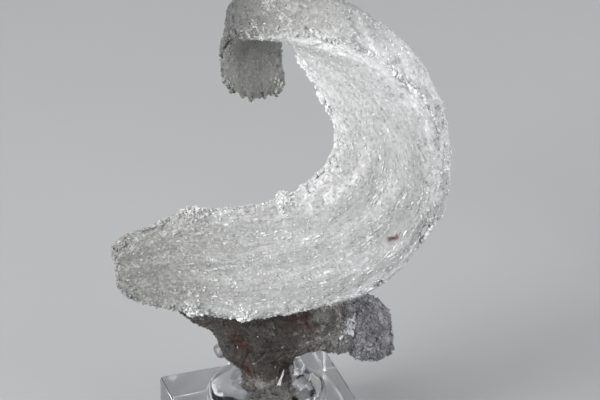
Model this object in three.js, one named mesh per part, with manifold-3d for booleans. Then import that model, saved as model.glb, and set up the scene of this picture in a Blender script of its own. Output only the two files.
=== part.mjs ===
// A curled "ram's horn" selenite crystal with its side crystal, on a stained gypsum stem that is set
// in clear putty on a clear acrylic block. Millimetres, +Z up; the origin is the middle of the underside.
import * as THREE from 'three';
import { ConvexGeometry } from 'three/addons/geometries/ConvexGeometry.js';
import { mergeVertices } from 'three/addons/utils/BufferGeometryUtils.js';
import Module from 'manifold-3d';

const wasm = await Module();
wasm.setup();

// ---- Driving dimensions -------------------------------------------------------------------------

const gap = 0.3; // left between two pieces that touch
const sliver = 0.03; // detail finer than this is cleaned away after a cut or join
const block = { side: 50.8, height: 19, chamfer: 0.8 };
const specimenTurn = THREE.MathUtils.degToRad(-18.5); // how the specimen was turned when it was set

const putty = {
  middle: -1, // along X
  contactRadius: 14.6, // where the dome leaves the block
  widestRadius: 17,
  crestRadius: 10.6, // of the ring where the dome stands highest, round the stem
  crestHeight: 9.4,
  rimRadius: 8.2, // where the dome meets the stem
  rimHeight: 8.6,
  segments: 32,
};
// The collar is the same putty drawn up the stem's right side.
const collar = { middle: 2.5, flatness: 0.7, footRadius: 11.5, footHeight: 7.6, topRadius: 6.4, height: 18.5 };

// The stem from its foot up: [height over the block, middle x, middle y, half width, half depth].
const stemRows = [
  [0, -0.5, 0, 7, 6.4],
  [6, -0.7, 0, 6.9, 6.2],
  [12, -1.2, 0, 6.4, 6.2],
  [15.5, -1.8, 0, 7.8, 6.8],
  [19, -2.2, 0, 10.4, 7.4],
  [21.5, 0.2, -0.3, 14.4, 8],
  [24, 1.3, -0.5, 17.2, 8.6],
  [30, 1, -1, 21.3, 9.2],
  [36, -1, -0.5, 21, 9],
  [42, -3, 0.5, 16, 7.5],
  [47, -4, 1.5, 9, 4.5],
];
const stem = { rings: 24, sides: 22, rib: 0.6, lump: 0.9 };
const stemKnobs = [
  { centre: [19, 1, 27], radii: [7.5, 6, 8.5] }, // the branch that carries the side crystal
  { centre: [-13.6, -1, 20.2], radii: [2.3, 2.3, 2.2] }, // a rounded glassy knob under the left flare
];

// The horn is a thick ribbon. Each row has its thin inner edge, its blunt outer edge and its thickness.
const hornRows = [
  { inner: [-42.5, -10, 80.5], outer: [-40.5, -15, 65.5], thick: 11 },
  { inner: [-33, -8, 83.5], outer: [-32.5, -17, 64], thick: 15 },
  { inner: [-22, -6, 87.5], outer: [-21, -18, 62], thick: 17 },
  { inner: [-9, -4, 87.5], outer: [-5, -18, 60], thick: 18 },
  { inner: [2, -2, 88.5], outer: [12, -17, 62.5], thick: 19 },
  { inner: [10.5, 0, 93], outer: [29.2, -13, 66.3], thick: 20 },
  { inner: [17.2, 2, 100], outer: [41.2, -9, 76.7], thick: 21 },
  { inner: [18.3, 5, 105.5], outer: [48.8, -6, 91], thick: 22 },
  { inner: [16.8, 9, 111.5], outer: [48.2, -5, 106], thick: 22 },
  { inner: [13.3, 14, 117], outer: [42.7, -4, 120], thick: 23 },
  { inner: [10, 20, 120.5], outer: [31.5, -2, 130], thick: 24 },
  { inner: [8.5, 28, 123], outer: [17, 3, 135], thick: 23 },
  { inner: [7, 36, 125], outer: [5, 13, 132], thick: 21 },
  { inner: [6, 44, 124.5], outer: [-6.5, 28.5, 124], thick: 18 },
  { inner: [4.5, 52, 118], outer: [-11.5, 44, 115], thick: 14 },
  { inner: [3.5, 56, 105], outer: [-14, 56, 103], thick: 12 },
  { inner: [4.5, 55, 90.5], outer: [-12.8, 56, 91.5], thick: 10 },
];
const horn = {
  rings: 92,
  sides: 26,
  front: 0.2, // share of the thickness in front of the line from edge to edge
  back: 0.72, // and behind it
  furrow: 0.35, // depth of the lengthwise furrows
  lump: 0.35,
  endTaper: 0.03, // part of the curl over which each end closes
  endShare: 0.7, // of the section that is left at the very end
};

// Crusts of small crystals on the horn's edges: middle along the curl (0 to 1), spread, edge, size, count.
const hornCrusts = [
  { at: 0.012, spread: 0.02, edge: 'inner', size: 2, count: 3 },
  { at: 0.012, spread: 0.02, edge: 'outer', size: 2.2, count: 3 },
  { at: 0.13, spread: 0.03, edge: 'inner', size: 3.2, count: 3 },
  { at: 0.13, spread: 0.012, edge: 'outer', size: 3.4, count: 3 },
  { at: 0.19, spread: 0.014, edge: 'outer', size: 3.6, count: 3 },
  { at: 0.265, spread: 0.03, edge: 'inner', size: 3.8, count: 4 },
  { at: 0.415, spread: 0.02, edge: 'outer', size: 3, count: 3 },
  { at: 0.56, spread: 0.22, edge: 'inner', size: 2.6, count: 8 },
  { at: 0.55, spread: 0.24, edge: 'outer', size: 2.4, count: 5 },
  { at: 0.985, spread: 0.03, edge: 'inner', size: 2.2, count: 3 },
  { at: 0.985, spread: 0.03, edge: 'outer', size: 2.2, count: 3 },
];

// The side crystal: a lumpy core with stout blades on its free side.
const side = { centre: [27.2, 4, 42.4], radii: [6.6, 6.2, 9.2], lump: 0.12, blades: 13, bladeSize: 5.8 };

const colours = { selenite: 0xdfe2de, matrix: 0x8d7f74, clear: 0xdce6ea };

// ---- Shared shapes ------------------------------------------------------------------------------

// Repeatable numbers from 0 to 1, so that each build gives the same crystals.
function makeDice(seed) {
  let state = seed;
  return () => {
    state = (state * 48271) % 2147483647;
    return state / 2147483647;
  };
}

// A smooth value from about -1 to 1 that makes lumps about as far apart as pitch.
function lumpiness(point, pitch) {
  const { x, y, z } = point.clone().divideScalar(pitch / 3);
  return (Math.sin(2 * x + y) + Math.sin(2 * y - z + 1) + Math.sin(2 * z + x + 2)) / 3;
}

function toSolid(geometry) {
  geometry.deleteAttribute('normal');
  geometry.deleteAttribute('uv');
  const merged = mergeVertices(geometry, 1e-4);
  return new wasm.Manifold(
    new wasm.Mesh({
      numProp: 3,
      vertProperties: new Float32Array(merged.attributes.position.array),
      triVerts: new Uint32Array(merged.index.array),
    })
  );
}

function toGeometry(solid) {
  const { vertProperties, triVerts } = solid.asOriginal().simplify(sliver).getMesh();
  const geometry = new THREE.BufferGeometry();
  geometry.setAttribute('position', new THREE.BufferAttribute(vertProperties, 3));
  geometry.setIndex(new THREE.BufferAttribute(triVerts, 1));
  return geometry;
}

function fuse(geometries) {
  return wasm.Manifold.union(geometries.map(toSolid));
}

// A closed skin over rings of points, shut at both ends by a fan to a tip.
function skinOver(rings, firstTip, lastTip) {
  const around = rings[0].length;
  const points = [...rings.flat(), firstTip, lastTip];
  const firstIndex = points.length - 2;
  const lastRing = (rings.length - 1) * around;
  const index = [];
  for (let side = 0; side < around; side++) {
    const next = (side + 1) % around;
    index.push(firstIndex, next, side, firstIndex + 1, lastRing + side, lastRing + next);
    for (let start = 0; start < lastRing; start += around) {
      const [a, b] = [start + side, start + next];
      index.push(a, b, b + around, a, b + around, a + around);
    }
  }
  const geometry = new THREE.BufferGeometry().setFromPoints(points);
  geometry.setIndex(index);
  return geometry;
}

// One stout gypsum crystal with a slanting tip, rooted below the origin and growing up +Z.
function crystal(size) {
  const [wide, thick] = [0.42 * size, 0.3 * size];
  const corners = [new THREE.Vector3(-0.1 * size, 0, 0.62 * size), new THREE.Vector3(0.16 * size, 0, 0.7 * size)];
  for (const [x, y] of [[-wide, 0], [0, -thick], [wide, 0], [0, thick]]) {
    corners.push(new THREE.Vector3(x, y, -0.5 * size), new THREE.Vector3(0.9 * x, 0.9 * y, 0.42 * size));
  }
  return new ConvexGeometry(corners);
}

function placeCrystal(size, root, direction, spin) {
  const turn = new THREE.Quaternion().setFromUnitVectors(new THREE.Vector3(0, 0, 1), direction);
  return crystal(size).rotateZ(spin).applyQuaternion(turn).translate(root.x, root.y, root.z);
}

// ---- The horn -----------------------------------------------------------------------------------

const innerEdge = new THREE.CatmullRomCurve3(hornRows.map((row) => new THREE.Vector3(...row.inner)));
const outerEdge = new THREE.CatmullRomCurve3(hornRows.map((row) => new THREE.Vector3(...row.outer)));

function hornThickness(t) {
  const place = t * (hornRows.length - 1);
  const row = Math.min(Math.floor(place), hornRows.length - 2);
  return THREE.MathUtils.lerp(hornRows[row].thick, hornRows[row + 1].thick, place - row);
}

// The middle of the ribbon at t, with its half width towards the outer edge, its run and its front side.
function hornFrame(t) {
  const middleAt = (s) => innerEdge.getPoint(s).add(outerEdge.getPoint(s)).multiplyScalar(0.5);
  const step = 0.002;
  const along = middleAt(Math.min(t + step, 1)).sub(middleAt(Math.max(t - step, 0))).normalize();
  const outward = outerEdge.getPoint(t).sub(innerEdge.getPoint(t)).multiplyScalar(0.5);
  const front = new THREE.Vector3().crossVectors(outward, along).normalize();
  return { middle: middleAt(t), outward, along, front };
}

// How much of the full section is left at t: all of it, but for the rounding at each end.
function endShare(t) {
  const inward = Math.min(t, 1 - t, horn.endTaper) / horn.endTaper;
  return THREE.MathUtils.lerp(horn.endShare, 1, Math.sqrt(inward * (2 - inward)));
}

// A power of a sine or cosine that keeps its sign; below 1 it squares the section a little.
const signedPower = (value, power) => Math.sign(value) * Math.abs(value) ** power;

function hornRing(t, grow) {
  const { middle, outward, front } = hornFrame(t);
  const halfWidth = outward.length();
  outward.normalize();
  const ring = [];
  for (let side = 0; side < horn.sides; side++) {
    const angle = (-2 * Math.PI * side) / horn.sides;
    const across = signedPower(Math.cos(angle), 0.85);
    const through = signedPower(Math.sin(angle), 0.8);
    const depth = through > 0 ? horn.front : horn.back * (0.75 + 0.25 * across);
    const point = middle.clone();
    point.addScaledVector(outward, across * halfWidth * endShare(t));
    point.addScaledVector(front, through * depth * hornThickness(t) * endShare(t));
    const furrow = horn.furrow * Math.sin(11 * across + 3 * Math.sin(9 * t) + (through > 0 ? 0 : 2));
    const relief = furrow * Math.abs(through) + horn.lump * lumpiness(point, 7);
    const away = outward.clone().multiplyScalar(across).addScaledVector(front, through).normalize();
    ring.push(point.addScaledVector(away, grow + relief));
  }
  return ring;
}

function hornBody(grow) {
  const rings = [];
  for (let i = 0; i <= horn.rings; i++) {
    rings.push(hornRing(i / horn.rings, grow));
  }
  const first = hornFrame(0);
  const last = hornFrame(1);
  first.middle.addScaledVector(first.along, -1 - grow);
  last.middle.addScaledVector(last.along, 1 + grow);
  return skinOver(rings, first.middle, last.middle);
}

function crustCrystals({ at, spread, edge, size, count }, dice) {
  const crystals = [];
  for (let i = 0; i < count; i++) {
    const t = THREE.MathUtils.clamp(at + spread * ((i + dice()) / count - 0.5), 0, 1);
    const { middle, outward, along, front } = hornFrame(t);
    const way = edge === 'outer' ? 1 : -1;
    const root = middle.addScaledVector(outward, 0.94 * way * endShare(t)).addScaledVector(front, -dice());
    const direction = outward.normalize().multiplyScalar(way);
    direction.addScaledVector(along, 1.4 * dice() - 0.7).addScaledVector(front, 1.2 * dice() - 0.6);
    crystals.push(placeCrystal(size * (0.8 + 0.4 * dice()), root, direction.normalize(), 3 * dice()));
  }
  return crystals;
}

function makeHorn() {
  const dice = makeDice(11);
  return fuse([hornBody(0), ...hornCrusts.flatMap((crust) => crustCrystals(crust, dice))]);
}

// ---- The stem, the side crystal, the putty and the block ------------------------------------------

function stemRow(height) {
  const upper = Math.max(1, stemRows.findIndex((row) => row[0] >= height));
  const share = (height - stemRows[upper - 1][0]) / (stemRows[upper][0] - stemRows[upper - 1][0]);
  return stemRows[upper].map((value, i) => THREE.MathUtils.lerp(stemRows[upper - 1][i], value, share));
}

function stemBody(grow) {
  const foot = block.height + gap - grow;
  const top = stemRows.at(-1)[0];
  const rings = [];
  for (let i = 0; i <= stem.rings; i++) {
    const [height, x, y, halfWidth, halfDepth] = stemRow((top * i) / stem.rings);
    const ring = [];
    for (let side = 0; side < stem.sides; side++) {
      const angle = (2 * Math.PI * side) / stem.sides;
      const point = new THREE.Vector3(x, y, foot + height);
      const away = new THREE.Vector3(Math.cos(angle), Math.sin(angle), 0);
      point.x += away.x * halfWidth;
      point.y += away.y * halfDepth;
      const rib = stem.rib * Math.sin(5 * angle + 0.12 * height);
      ring.push(point.addScaledVector(away, grow + rib + stem.lump * lumpiness(point, 8)));
    }
    rings.push(ring);
  }
  const footTip = new THREE.Vector3(stemRows[0][1], stemRows[0][2], foot);
  const topTip = new THREE.Vector3(stemRows.at(-1)[1], stemRows.at(-1)[2], foot + top + 2 * grow);
  return skinOver(rings, footTip, topTip);
}

// A ball drawn out to three radii and made lumpy.
function lumpyBall(centre, radii, lump, detail) {
  const ball = new THREE.IcosahedronGeometry(1, detail);
  const position = ball.attributes.position;
  const point = new THREE.Vector3();
  for (let i = 0; i < position.count; i++) {
    point.fromBufferAttribute(position, i);
    point.multiplyScalar(1 + lump * lumpiness(point, 1.1));
    position.setXYZ(i, point.x * radii[0] + centre[0], point.y * radii[1] + centre[1], point.z * radii[2] + centre[2]);
  }
  return ball;
}

function stemWithKnobs(grow) {
  const knobs = stemKnobs.map(({ centre: [x, y, height], radii }) =>
    lumpyBall([x, y, block.height + height], radii.map((radius) => radius + grow), 0.1, 2)
  );
  return fuse([stemBody(grow), ...knobs]);
}

function makeSideCrystal() {
  const dice = makeDice(5);
  const pieces = [lumpyBall(side.centre, side.radii, side.lump, 2)];
  const centre = new THREE.Vector3(...side.centre);
  for (let i = 0; i < side.blades; i++) {
    const height = 1.8 * ((i + 0.5) / side.blades) - 0.9;
    const turn = -2 + 3.6 * dice();
    const level = Math.sqrt(1 - height ** 2);
    const direction = new THREE.Vector3(level * Math.cos(turn), level * Math.sin(turn), height);
    const root = direction.clone().multiply(new THREE.Vector3(...side.radii)).multiplyScalar(0.8).add(centre);
    pieces.push(placeCrystal(side.bladeSize * (0.7 + 0.6 * dice()), root, direction, 3 * dice()));
  }
  return fuse(pieces);
}

function turned(outline, flatness, x) {
  const profile = outline.map(([radius, height]) => new THREE.Vector2(radius, height));
  const lathe = new THREE.LatheGeometry(profile, putty.segments);
  lathe.rotateX(Math.PI / 2).scale(1, flatness, 1).translate(x, 0, block.height + gap);
  return toSolid(lathe);
}

function makePutty() {
  const { contactRadius, widestRadius, crestRadius, crestHeight, rimRadius, rimHeight } = putty;
  const dome = [
    [0, 0],
    [contactRadius, 0],
    [widestRadius - 0.7, 1.5],
    [widestRadius, 3.4],
    [widestRadius, 5.4],
    [widestRadius - 1, 7.4],
    [crestRadius + 3.2, crestHeight - 0.6],
    [crestRadius + 1, crestHeight],
    [crestRadius - 1, crestHeight - 0.1],
    [rimRadius, rimHeight],
    [0, rimHeight],
  ];
  const { footRadius, footHeight, topRadius, height } = collar;
  const drawnUp = [
    [0, footHeight],
    [footRadius, footHeight],
    [footRadius - 1.9, footHeight + 2.6],
    [footRadius - 3.4, footHeight + 5.6],
    [topRadius + 0.7, height - 2.6],
    [topRadius, height],
    [0, height],
  ];
  return turned(dome, 1, putty.middle).add(turned(drawnUp, collar.flatness, collar.middle));
}

function makeBlock() {
  const [half, cut] = [block.side / 2, block.chamfer];
  const corners = [];
  for (const x of [-1, 1]) {
    for (const y of [-1, 1]) {
      for (const [z, inside] of [[0, cut], [block.height, block.height - cut]]) {
        corners.push(new THREE.Vector3(x * (half - cut), y * (half - cut), z));
        corners.push(new THREE.Vector3(x * half, y * (half - cut), inside));
        corners.push(new THREE.Vector3(x * (half - cut), y * half, inside));
      }
    }
  }
  return new ConvexGeometry(corners);
}

// ---- The object ---------------------------------------------------------------------------------

function named(name, geometry, color, roughness) {
  const mesh = new THREE.Mesh(geometry, new THREE.MeshStandardMaterial({ color, roughness, metalness: 0 }));
  mesh.name = name;
  return mesh;
}

const hornSolid = makeHorn();
const stemSolid = stemWithKnobs(0).subtract(toSolid(hornBody(gap)));
const sideSolid = makeSideCrystal().subtract(stemWithKnobs(gap)).subtract(toSolid(hornBody(gap)));
const puttySolid = makePutty().subtract(stemWithKnobs(gap));

const specimen = new THREE.Group();
specimen.rotation.z = specimenTurn;
specimen.add(
  named('horn_crystal', toGeometry(hornSolid), colours.selenite, 0.45),
  named('side_crystal', toGeometry(sideSolid), colours.selenite, 0.4),
  named('matrix_stem', toGeometry(stemSolid), colours.matrix, 0.7),
  named('mounting_putty', toGeometry(puttySolid), colours.clear, 0.1)
);

const object = new THREE.Group();
object.add(named('acrylic_base', makeBlock(), colours.clear, 0.05), specimen);

export default object;
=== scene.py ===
"""A curled "ram's horn" selenite on a clear block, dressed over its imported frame.

The classes hold their sizes in millimetres, in the specimen's own axes: X runs to the right along the
curl's open face, Y away from it, and Z up from the surface that the block stands on. Placement turns
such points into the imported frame's metres.
"""

import logging
import math
from collections.abc import Sequence
from dataclasses import dataclass, replace
from enum import Enum

import bpy
import numpy as np
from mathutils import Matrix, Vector


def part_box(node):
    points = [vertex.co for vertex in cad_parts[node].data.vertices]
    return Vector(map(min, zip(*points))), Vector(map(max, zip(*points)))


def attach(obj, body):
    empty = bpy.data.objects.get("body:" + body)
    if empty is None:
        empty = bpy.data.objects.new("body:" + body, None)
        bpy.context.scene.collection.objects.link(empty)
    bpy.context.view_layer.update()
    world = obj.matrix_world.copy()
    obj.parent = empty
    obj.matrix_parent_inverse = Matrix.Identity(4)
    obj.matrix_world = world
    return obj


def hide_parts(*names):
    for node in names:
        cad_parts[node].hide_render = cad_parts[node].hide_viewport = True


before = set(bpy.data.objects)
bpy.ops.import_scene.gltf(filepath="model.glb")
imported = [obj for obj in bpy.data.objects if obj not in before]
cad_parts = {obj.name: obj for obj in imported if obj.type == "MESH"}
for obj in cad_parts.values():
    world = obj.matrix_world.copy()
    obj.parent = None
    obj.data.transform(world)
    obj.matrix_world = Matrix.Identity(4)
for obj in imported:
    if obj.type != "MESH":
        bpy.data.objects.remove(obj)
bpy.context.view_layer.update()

Array = np.ndarray
Point = tuple[float, float, float]
Colour = tuple[float, float, float]
Object = bpy.types.Object
Material = bpy.types.Material
Node = bpy.types.Node
Socket = bpy.types.NodeSocket
log = logging.getLogger("selenite")
MM = 0.001
TAU = 2.0 * math.pi


# ---- Places ----


@dataclass(frozen=True)
class Placement:
    """How the specimen stands on the block."""

    turn_deg: float = -18.5

    def to_frame(self, points: Array) -> Array:
        """Turns specimen points about the block's middle and scales them.

        Args:
            points: Points or directions in millimetres, with the three coordinates last.

        Returns:
            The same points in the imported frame, in metres.
        """
        turn = math.radians(self.turn_deg)
        right = np.array([math.cos(turn), math.sin(turn), 0.0])
        away = np.array([-math.sin(turn), math.cos(turn), 0.0])
        up = np.array([0.0, 0.0, 1.0])
        return (points[..., :1] * right + points[..., 1:2] * away + points[..., 2:] * up) * MM


PLACEMENT = Placement()


def block_top() -> float:
    """The height of the block's upper face, in millimetres."""
    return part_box("acrylic_base")[1].z / MM


# ---- Repeatable noise ----


def hashed(cells: Array, seed: int) -> Array:
    """Gives each whole-number cell a repeatable value from 0 to 1.

    Formula: each coordinate times its own large odd number is mixed in by exclusive or, and the
    result is stirred by shifts and one more product. Its share of 2 to the 32nd is the value.

    Args:
        cells: Whole numbers, with the cell's coordinates last.
        seed: Which pattern to give.

    Returns:
        One value for each cell.
    """
    low_bits = np.uint64(0xFFFFFFFF)
    odd_numbers = (0x9E3779B1, 0x85EBCA77, 0xC2B2AE3D)
    mixed = np.full(cells.shape[:-1], (seed * 0x27D4EB2F) & 0xFFFFFFFF, dtype=np.uint64)
    for axis in range(cells.shape[-1]):
        lane = cells[..., axis].astype(np.int64).astype(np.uint64)
        mixed ^= (lane * np.uint64(odd_numbers[axis])) & low_bits
        mixed ^= mixed >> np.uint64(15)
        mixed = (mixed * np.uint64(0x2C1B3C6D)) & low_bits
        mixed ^= mixed >> np.uint64(12)
    return mixed.astype(float) / 2.0**32


def smooth_noise(points: Array, seed: int) -> Array:
    """A smooth value from -1 to 1 with one swell for each unit of distance.

    Formula: the hashed values at the corners of the point's unit cell, each weighted by the eased
    nearness 3p^2 - 2p^3 along every axis, are added and stretched from 0..1 to -1..1.

    Args:
        points: Points in two or three dimensions, coordinates last.
        seed: Which pattern to give.

    Returns:
        One value for each point.
    """
    base = np.floor(points)
    part = points - base
    ease = part * part * (3.0 - 2.0 * part)
    total = np.zeros(points.shape[:-1])
    for corner in np.ndindex(*(2,) * points.shape[-1]):
        weight = np.prod(np.where(np.array(corner) == 1, ease, 1.0 - ease), axis=-1)
        total += weight * hashed(base + np.array(corner), seed)
    return 2.0 * total - 1.0


def fractal_noise(points: Array, octaves: int, seed: int) -> Array:
    """Smooth noise with finer and weaker copies added.

    Formula: the sum of noise at 1, 2, 4... times the pitch, weighted 1, 1/2, 1/4..., over the weights' sum.

    Args:
        points: Points, coordinates last.
        octaves: How many copies are added.
        seed: Which pattern to give.

    Returns:
        One value from about -1 to 1 for each point.
    """
    shift = 17.0  # keeps the copies' swells apart
    total = np.zeros(points.shape[:-1])
    for octave in range(octaves):
        total += 0.5**octave * smooth_noise(points * 2.0**octave + shift * octave, seed + octave)
    return total / (2.0 - 0.5 ** (octaves - 1))


def creases(points: Array, seed: int) -> Array:
    """Sharp crests between smooth troughs: one less twice the noise's size, whatever its sign."""
    return 1.0 - 2.0 * np.abs(fractal_noise(points, 3, seed))


GROOVE_WIDTH = 0.12  # share of the grain pitch


@dataclass(frozen=True)
class GrainCells:
    """Where points lie in a packing of irregular grains."""

    near: Array  # distance to the grain's centre
    crack: Array  # how much further the next grain's centre is: 0 on the boundary
    offset: Array  # from the grain's centre to the point
    traits: Array  # three repeatable values of the grain

    def facets(self, slope: float, groove: float) -> Array:
        """The height of grains that each end in one tilted flat, with grooves between them.

        Formula: the offset times the grain's own random slope, plus a random step, less a groove
        that fades with the distance from the boundary.

        Args:
            slope: Steepness of the flats and size of the steps.
            groove: Depth of the grooves.

        Returns:
            Heights in units of the cells' pitch.
        """
        tilt = (self.traits[..., : self.offset.shape[-1]] - 0.5) * 2.0 * slope
        step = (self.traits[..., 2] - 0.5) * slope
        return (self.offset * tilt).sum(-1) + step - groove * np.exp(-self.crack / GROOVE_WIDTH)


def grain_cells(points: Array, seed: int) -> GrainCells:
    """Packs space with irregular grains, one to each unit cell, and finds each point's grain.

    Formula: every cell has a centre moved by hashed values. The nearest centre of the surrounding
    cells owns the point, and the crack is the second nearest distance less the nearest.

    Args:
        points: Points in units of the grain pitch, coordinates last.
        seed: Which packing to give.

    Returns:
        The grain of each point.
    """
    dimensions = points.shape[-1]
    margin = 0.1  # the nearest that a centre lies to its cell's walls
    base = np.floor(points)
    near = np.full(points.shape[:-1], np.inf)
    second = near.copy()
    offset = np.zeros_like(points)
    owner = np.zeros_like(points)
    for step in np.ndindex(*(3,) * dimensions):
        cell = base + np.array(step) - 1.0
        moved = np.stack([hashed(cell, seed + k) for k in range(dimensions)], -1)
        away = points - (cell + margin + (1.0 - 2.0 * margin) * moved)
        distance = np.sqrt((away * away).sum(-1))
        closer = distance < near
        second = np.where(closer, near, np.minimum(second, distance))
        near = np.where(closer, distance, near)
        offset = np.where(closer[..., None], away, offset)
        owner = np.where(closer[..., None], cell, owner)
    traits = np.stack([hashed(owner, seed + 11 + k) for k in range(3)], -1)
    return GrainCells(near, second - near, offset, traits)


def clipped(values: Array | float) -> Array:
    """The values, with those below 0 raised to 0 and those above 1 lowered to 1."""
    return np.clip(values, 0.0, 1.0)


def bell(distance: Array, reach: float) -> Array:
    """The bell curve of a distance: e to the minus square of the distance over its reach."""
    return np.exp(-((distance / reach) ** 2))


def signed_power(values: Array, power: float) -> Array:
    """The size of each value raised to a power, with the value's sign kept."""
    return np.sign(values) * np.abs(values) ** power


def lumpiness(points: Array, pitch: float) -> Array:
    """A smooth lumpy value from about -1 to 1: the mean of three sine waves that cross."""
    x, y, z = np.moveaxis(points * 3.0 / pitch, -1, 0)
    return (np.sin(2 * x + y) + np.sin(2 * y - z + 1) + np.sin(2 * z + x + 2)) / 3.0


# ---- Meshes ----


def linked(name: str, data: bpy.types.ID) -> Object:
    """Makes an object and links it to the scene.

    Args:
        name: The object's name.
        data: The mesh, light or camera that it holds.

    Returns:
        The object.
    """
    made = bpy.data.objects.new(name, data)
    bpy.context.scene.collection.objects.link(made)
    return made


def plain_piece(name: str, corners: list[Point], sides: list[tuple[int, ...]]) -> Object:
    """Makes a piece of flat sides.

    Args:
        name: The piece's name.
        corners: Its corners, in metres.
        sides: The numbers of each side's corners.

    Returns:
        The object, linked to the scene.
    """
    mesh = bpy.data.meshes.new(name)
    mesh.from_pydata(corners, [], sides)
    return linked(name, mesh)


def unit(vectors: Array) -> Array:
    """The vectors at length 1."""
    return vectors / np.maximum(np.linalg.norm(vectors, axis=-1, keepdims=True), 1e-9)


@dataclass(frozen=True)
class Stain:
    """A rusty vein inside the crystals, from one point to another."""

    start: Point
    end: Point
    width: float
    strength: float = 1.0
    unevenness: float = 0.6  # how much the noise changes the distance, as a share
    uneven_mm: float = 1.6  # the noise's pitch

    def at(self, points: Array) -> Array:
        """How strong the vein is at the points.

        Formula: the strength times the bell curve of the distance to the segment over the width,
        where the distance is first disturbed by smooth noise.

        Args:
            points: Specimen points.

        Returns:
            A value from 0 to the strength for each point.
        """
        start, end = np.array(self.start, float), np.array(self.end, float)
        step = end - start
        share = clipped(((points - start) @ step) / (step @ step))
        distance = np.linalg.norm(points - start - share[..., None] * step, axis=-1)
        distance = distance * (1.0 + self.unevenness * fractal_noise(points / self.uneven_mm, 2, 91))
        return self.strength * bell(distance, self.width)


@dataclass
class Faces:
    """The points and faces of one closed mesh, with each point's tone and its place along the growth."""

    points: Array
    polygons: list[Array]
    tone: Array
    run: Array

    @staticmethod
    def joined(parts: "list[Faces]") -> "Faces":
        """Puts several meshes into one.

        Args:
            parts: The meshes.

        Returns:
            One mesh, in which each still has its own points.
        """
        polygons = []
        start = 0
        for part in parts:
            polygons.extend(polygon + start for polygon in part.polygons)
            start += len(part.points)
        points, tone, run = (
            np.concatenate([getattr(part, name) for part in parts]) for name in ("points", "tone", "run")
        )
        return Faces(points, polygons, tone, run)

    def to_object(self, name: str, smooth: bool = False, stains: tuple[Stain, ...] = ()) -> Object:
        """Makes the Blender object.

        Args:
            name: The piece's name.
            smooth: Whether its faces are shaded as one smooth surface.
            stains: The rusty veins that reach it.

        Returns:
            The object, linked to the scene, at the origin, in metres.
        """
        mesh = bpy.data.meshes.new(name)
        sizes = np.concatenate([np.full(len(p), p.shape[1]) for p in self.polygons])
        corners = np.concatenate([p.ravel() for p in self.polygons])
        mesh.vertices.add(len(self.points))
        mesh.vertices.foreach_set("co", PLACEMENT.to_frame(self.points).astype(np.float32).ravel())
        mesh.loops.add(len(corners))
        mesh.loops.foreach_set("vertex_index", corners.astype(np.int32))
        mesh.polygons.add(len(sizes))
        starts = np.concatenate([[0], np.cumsum(sizes)[:-1]])
        mesh.polygons.foreach_set("loop_start", starts.astype(np.int32))
        mesh.polygons.foreach_set("use_smooth", np.full(len(sizes), smooth))
        mesh.update(calc_edges=True)
        rust = sum((stain.at(self.points) for stain in stains), np.zeros(len(self.points)))
        for label, values in (("tone", self.tone), ("rust", clipped(rust))):
            mesh.attributes.new(label, "FLOAT", "POINT").data.foreach_set("value", values.astype(np.float32))
        run = mesh.attributes.new("run", "FLOAT_VECTOR", "POINT")
        run.data.foreach_set("vector", self.run.astype(np.float32).ravel())
        return linked(name, mesh)


@dataclass
class Sheet:
    """A closed surface as a grid of points: rows run along the growth and columns go round it."""

    points: Array  # rows by columns by 3
    run: Array  # rows by columns by 3: distance along, distance round, share of the length
    tone: Array  # rows by columns

    def normals(self) -> Array:
        """Outward normals: the cross product of the steps along the rows and round the columns.

        Returns:
            A unit vector for each point, turned to point away from its ring's middle.
        """
        along = np.gradient(self.points, axis=0)
        round_ = np.roll(self.points, -1, axis=1) - np.roll(self.points, 1, axis=1)
        normal = unit(np.cross(round_, along))
        outwards = self.points - self.points.mean(axis=1, keepdims=True)
        return normal * np.sign((normal * outwards).sum(-1).mean())

    def moved(self, height: Array) -> "Sheet":
        """The sheet with each point moved out along its normal by a height in millimetres."""
        return Sheet(self.points + self.normals() * height[..., None], self.run, self.tone)

    def faces(self) -> Faces:
        """Joins the grid into quads and closes both ends with fans.

        Returns:
            The closed mesh, with its faces outwards.
        """
        rows, columns = self.tone.shape
        index = np.arange(rows * columns).reshape(rows, columns)
        here, there = index[:-1], index[1:]
        quads = np.stack([here, np.roll(here, -1, 1), np.roll(there, -1, 1), there], -1).reshape(-1, 4)
        tips = rows * columns
        low = np.stack([np.full(columns, tips), np.roll(index[0], -1), index[0]], -1)
        high = np.stack([np.full(columns, tips + 1), index[-1], np.roll(index[-1], -1)], -1)
        ends = self.points[[0, -1]].mean(axis=1)
        points = np.concatenate([self.points.reshape(-1, 3), ends])
        tone = np.concatenate([self.tone.ravel(), self.tone[[0, -1]].mean(axis=1)])
        run = np.concatenate([self.run.reshape(-1, 3), self.run[[0, -1]].mean(axis=1)])
        polygons = [quads, low, high]
        a, b, c = (points[quads[:, k]] for k in range(3))
        facing = (np.cross(b - a, c - a) * self.normals()[:-1].reshape(-1, 3)).sum()
        if facing < 0:
            polygons = [polygon[:, ::-1] for polygon in polygons]
        return Faces(points, polygons, tone, run)


# ---- Crystals scattered on a surface ----


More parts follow.
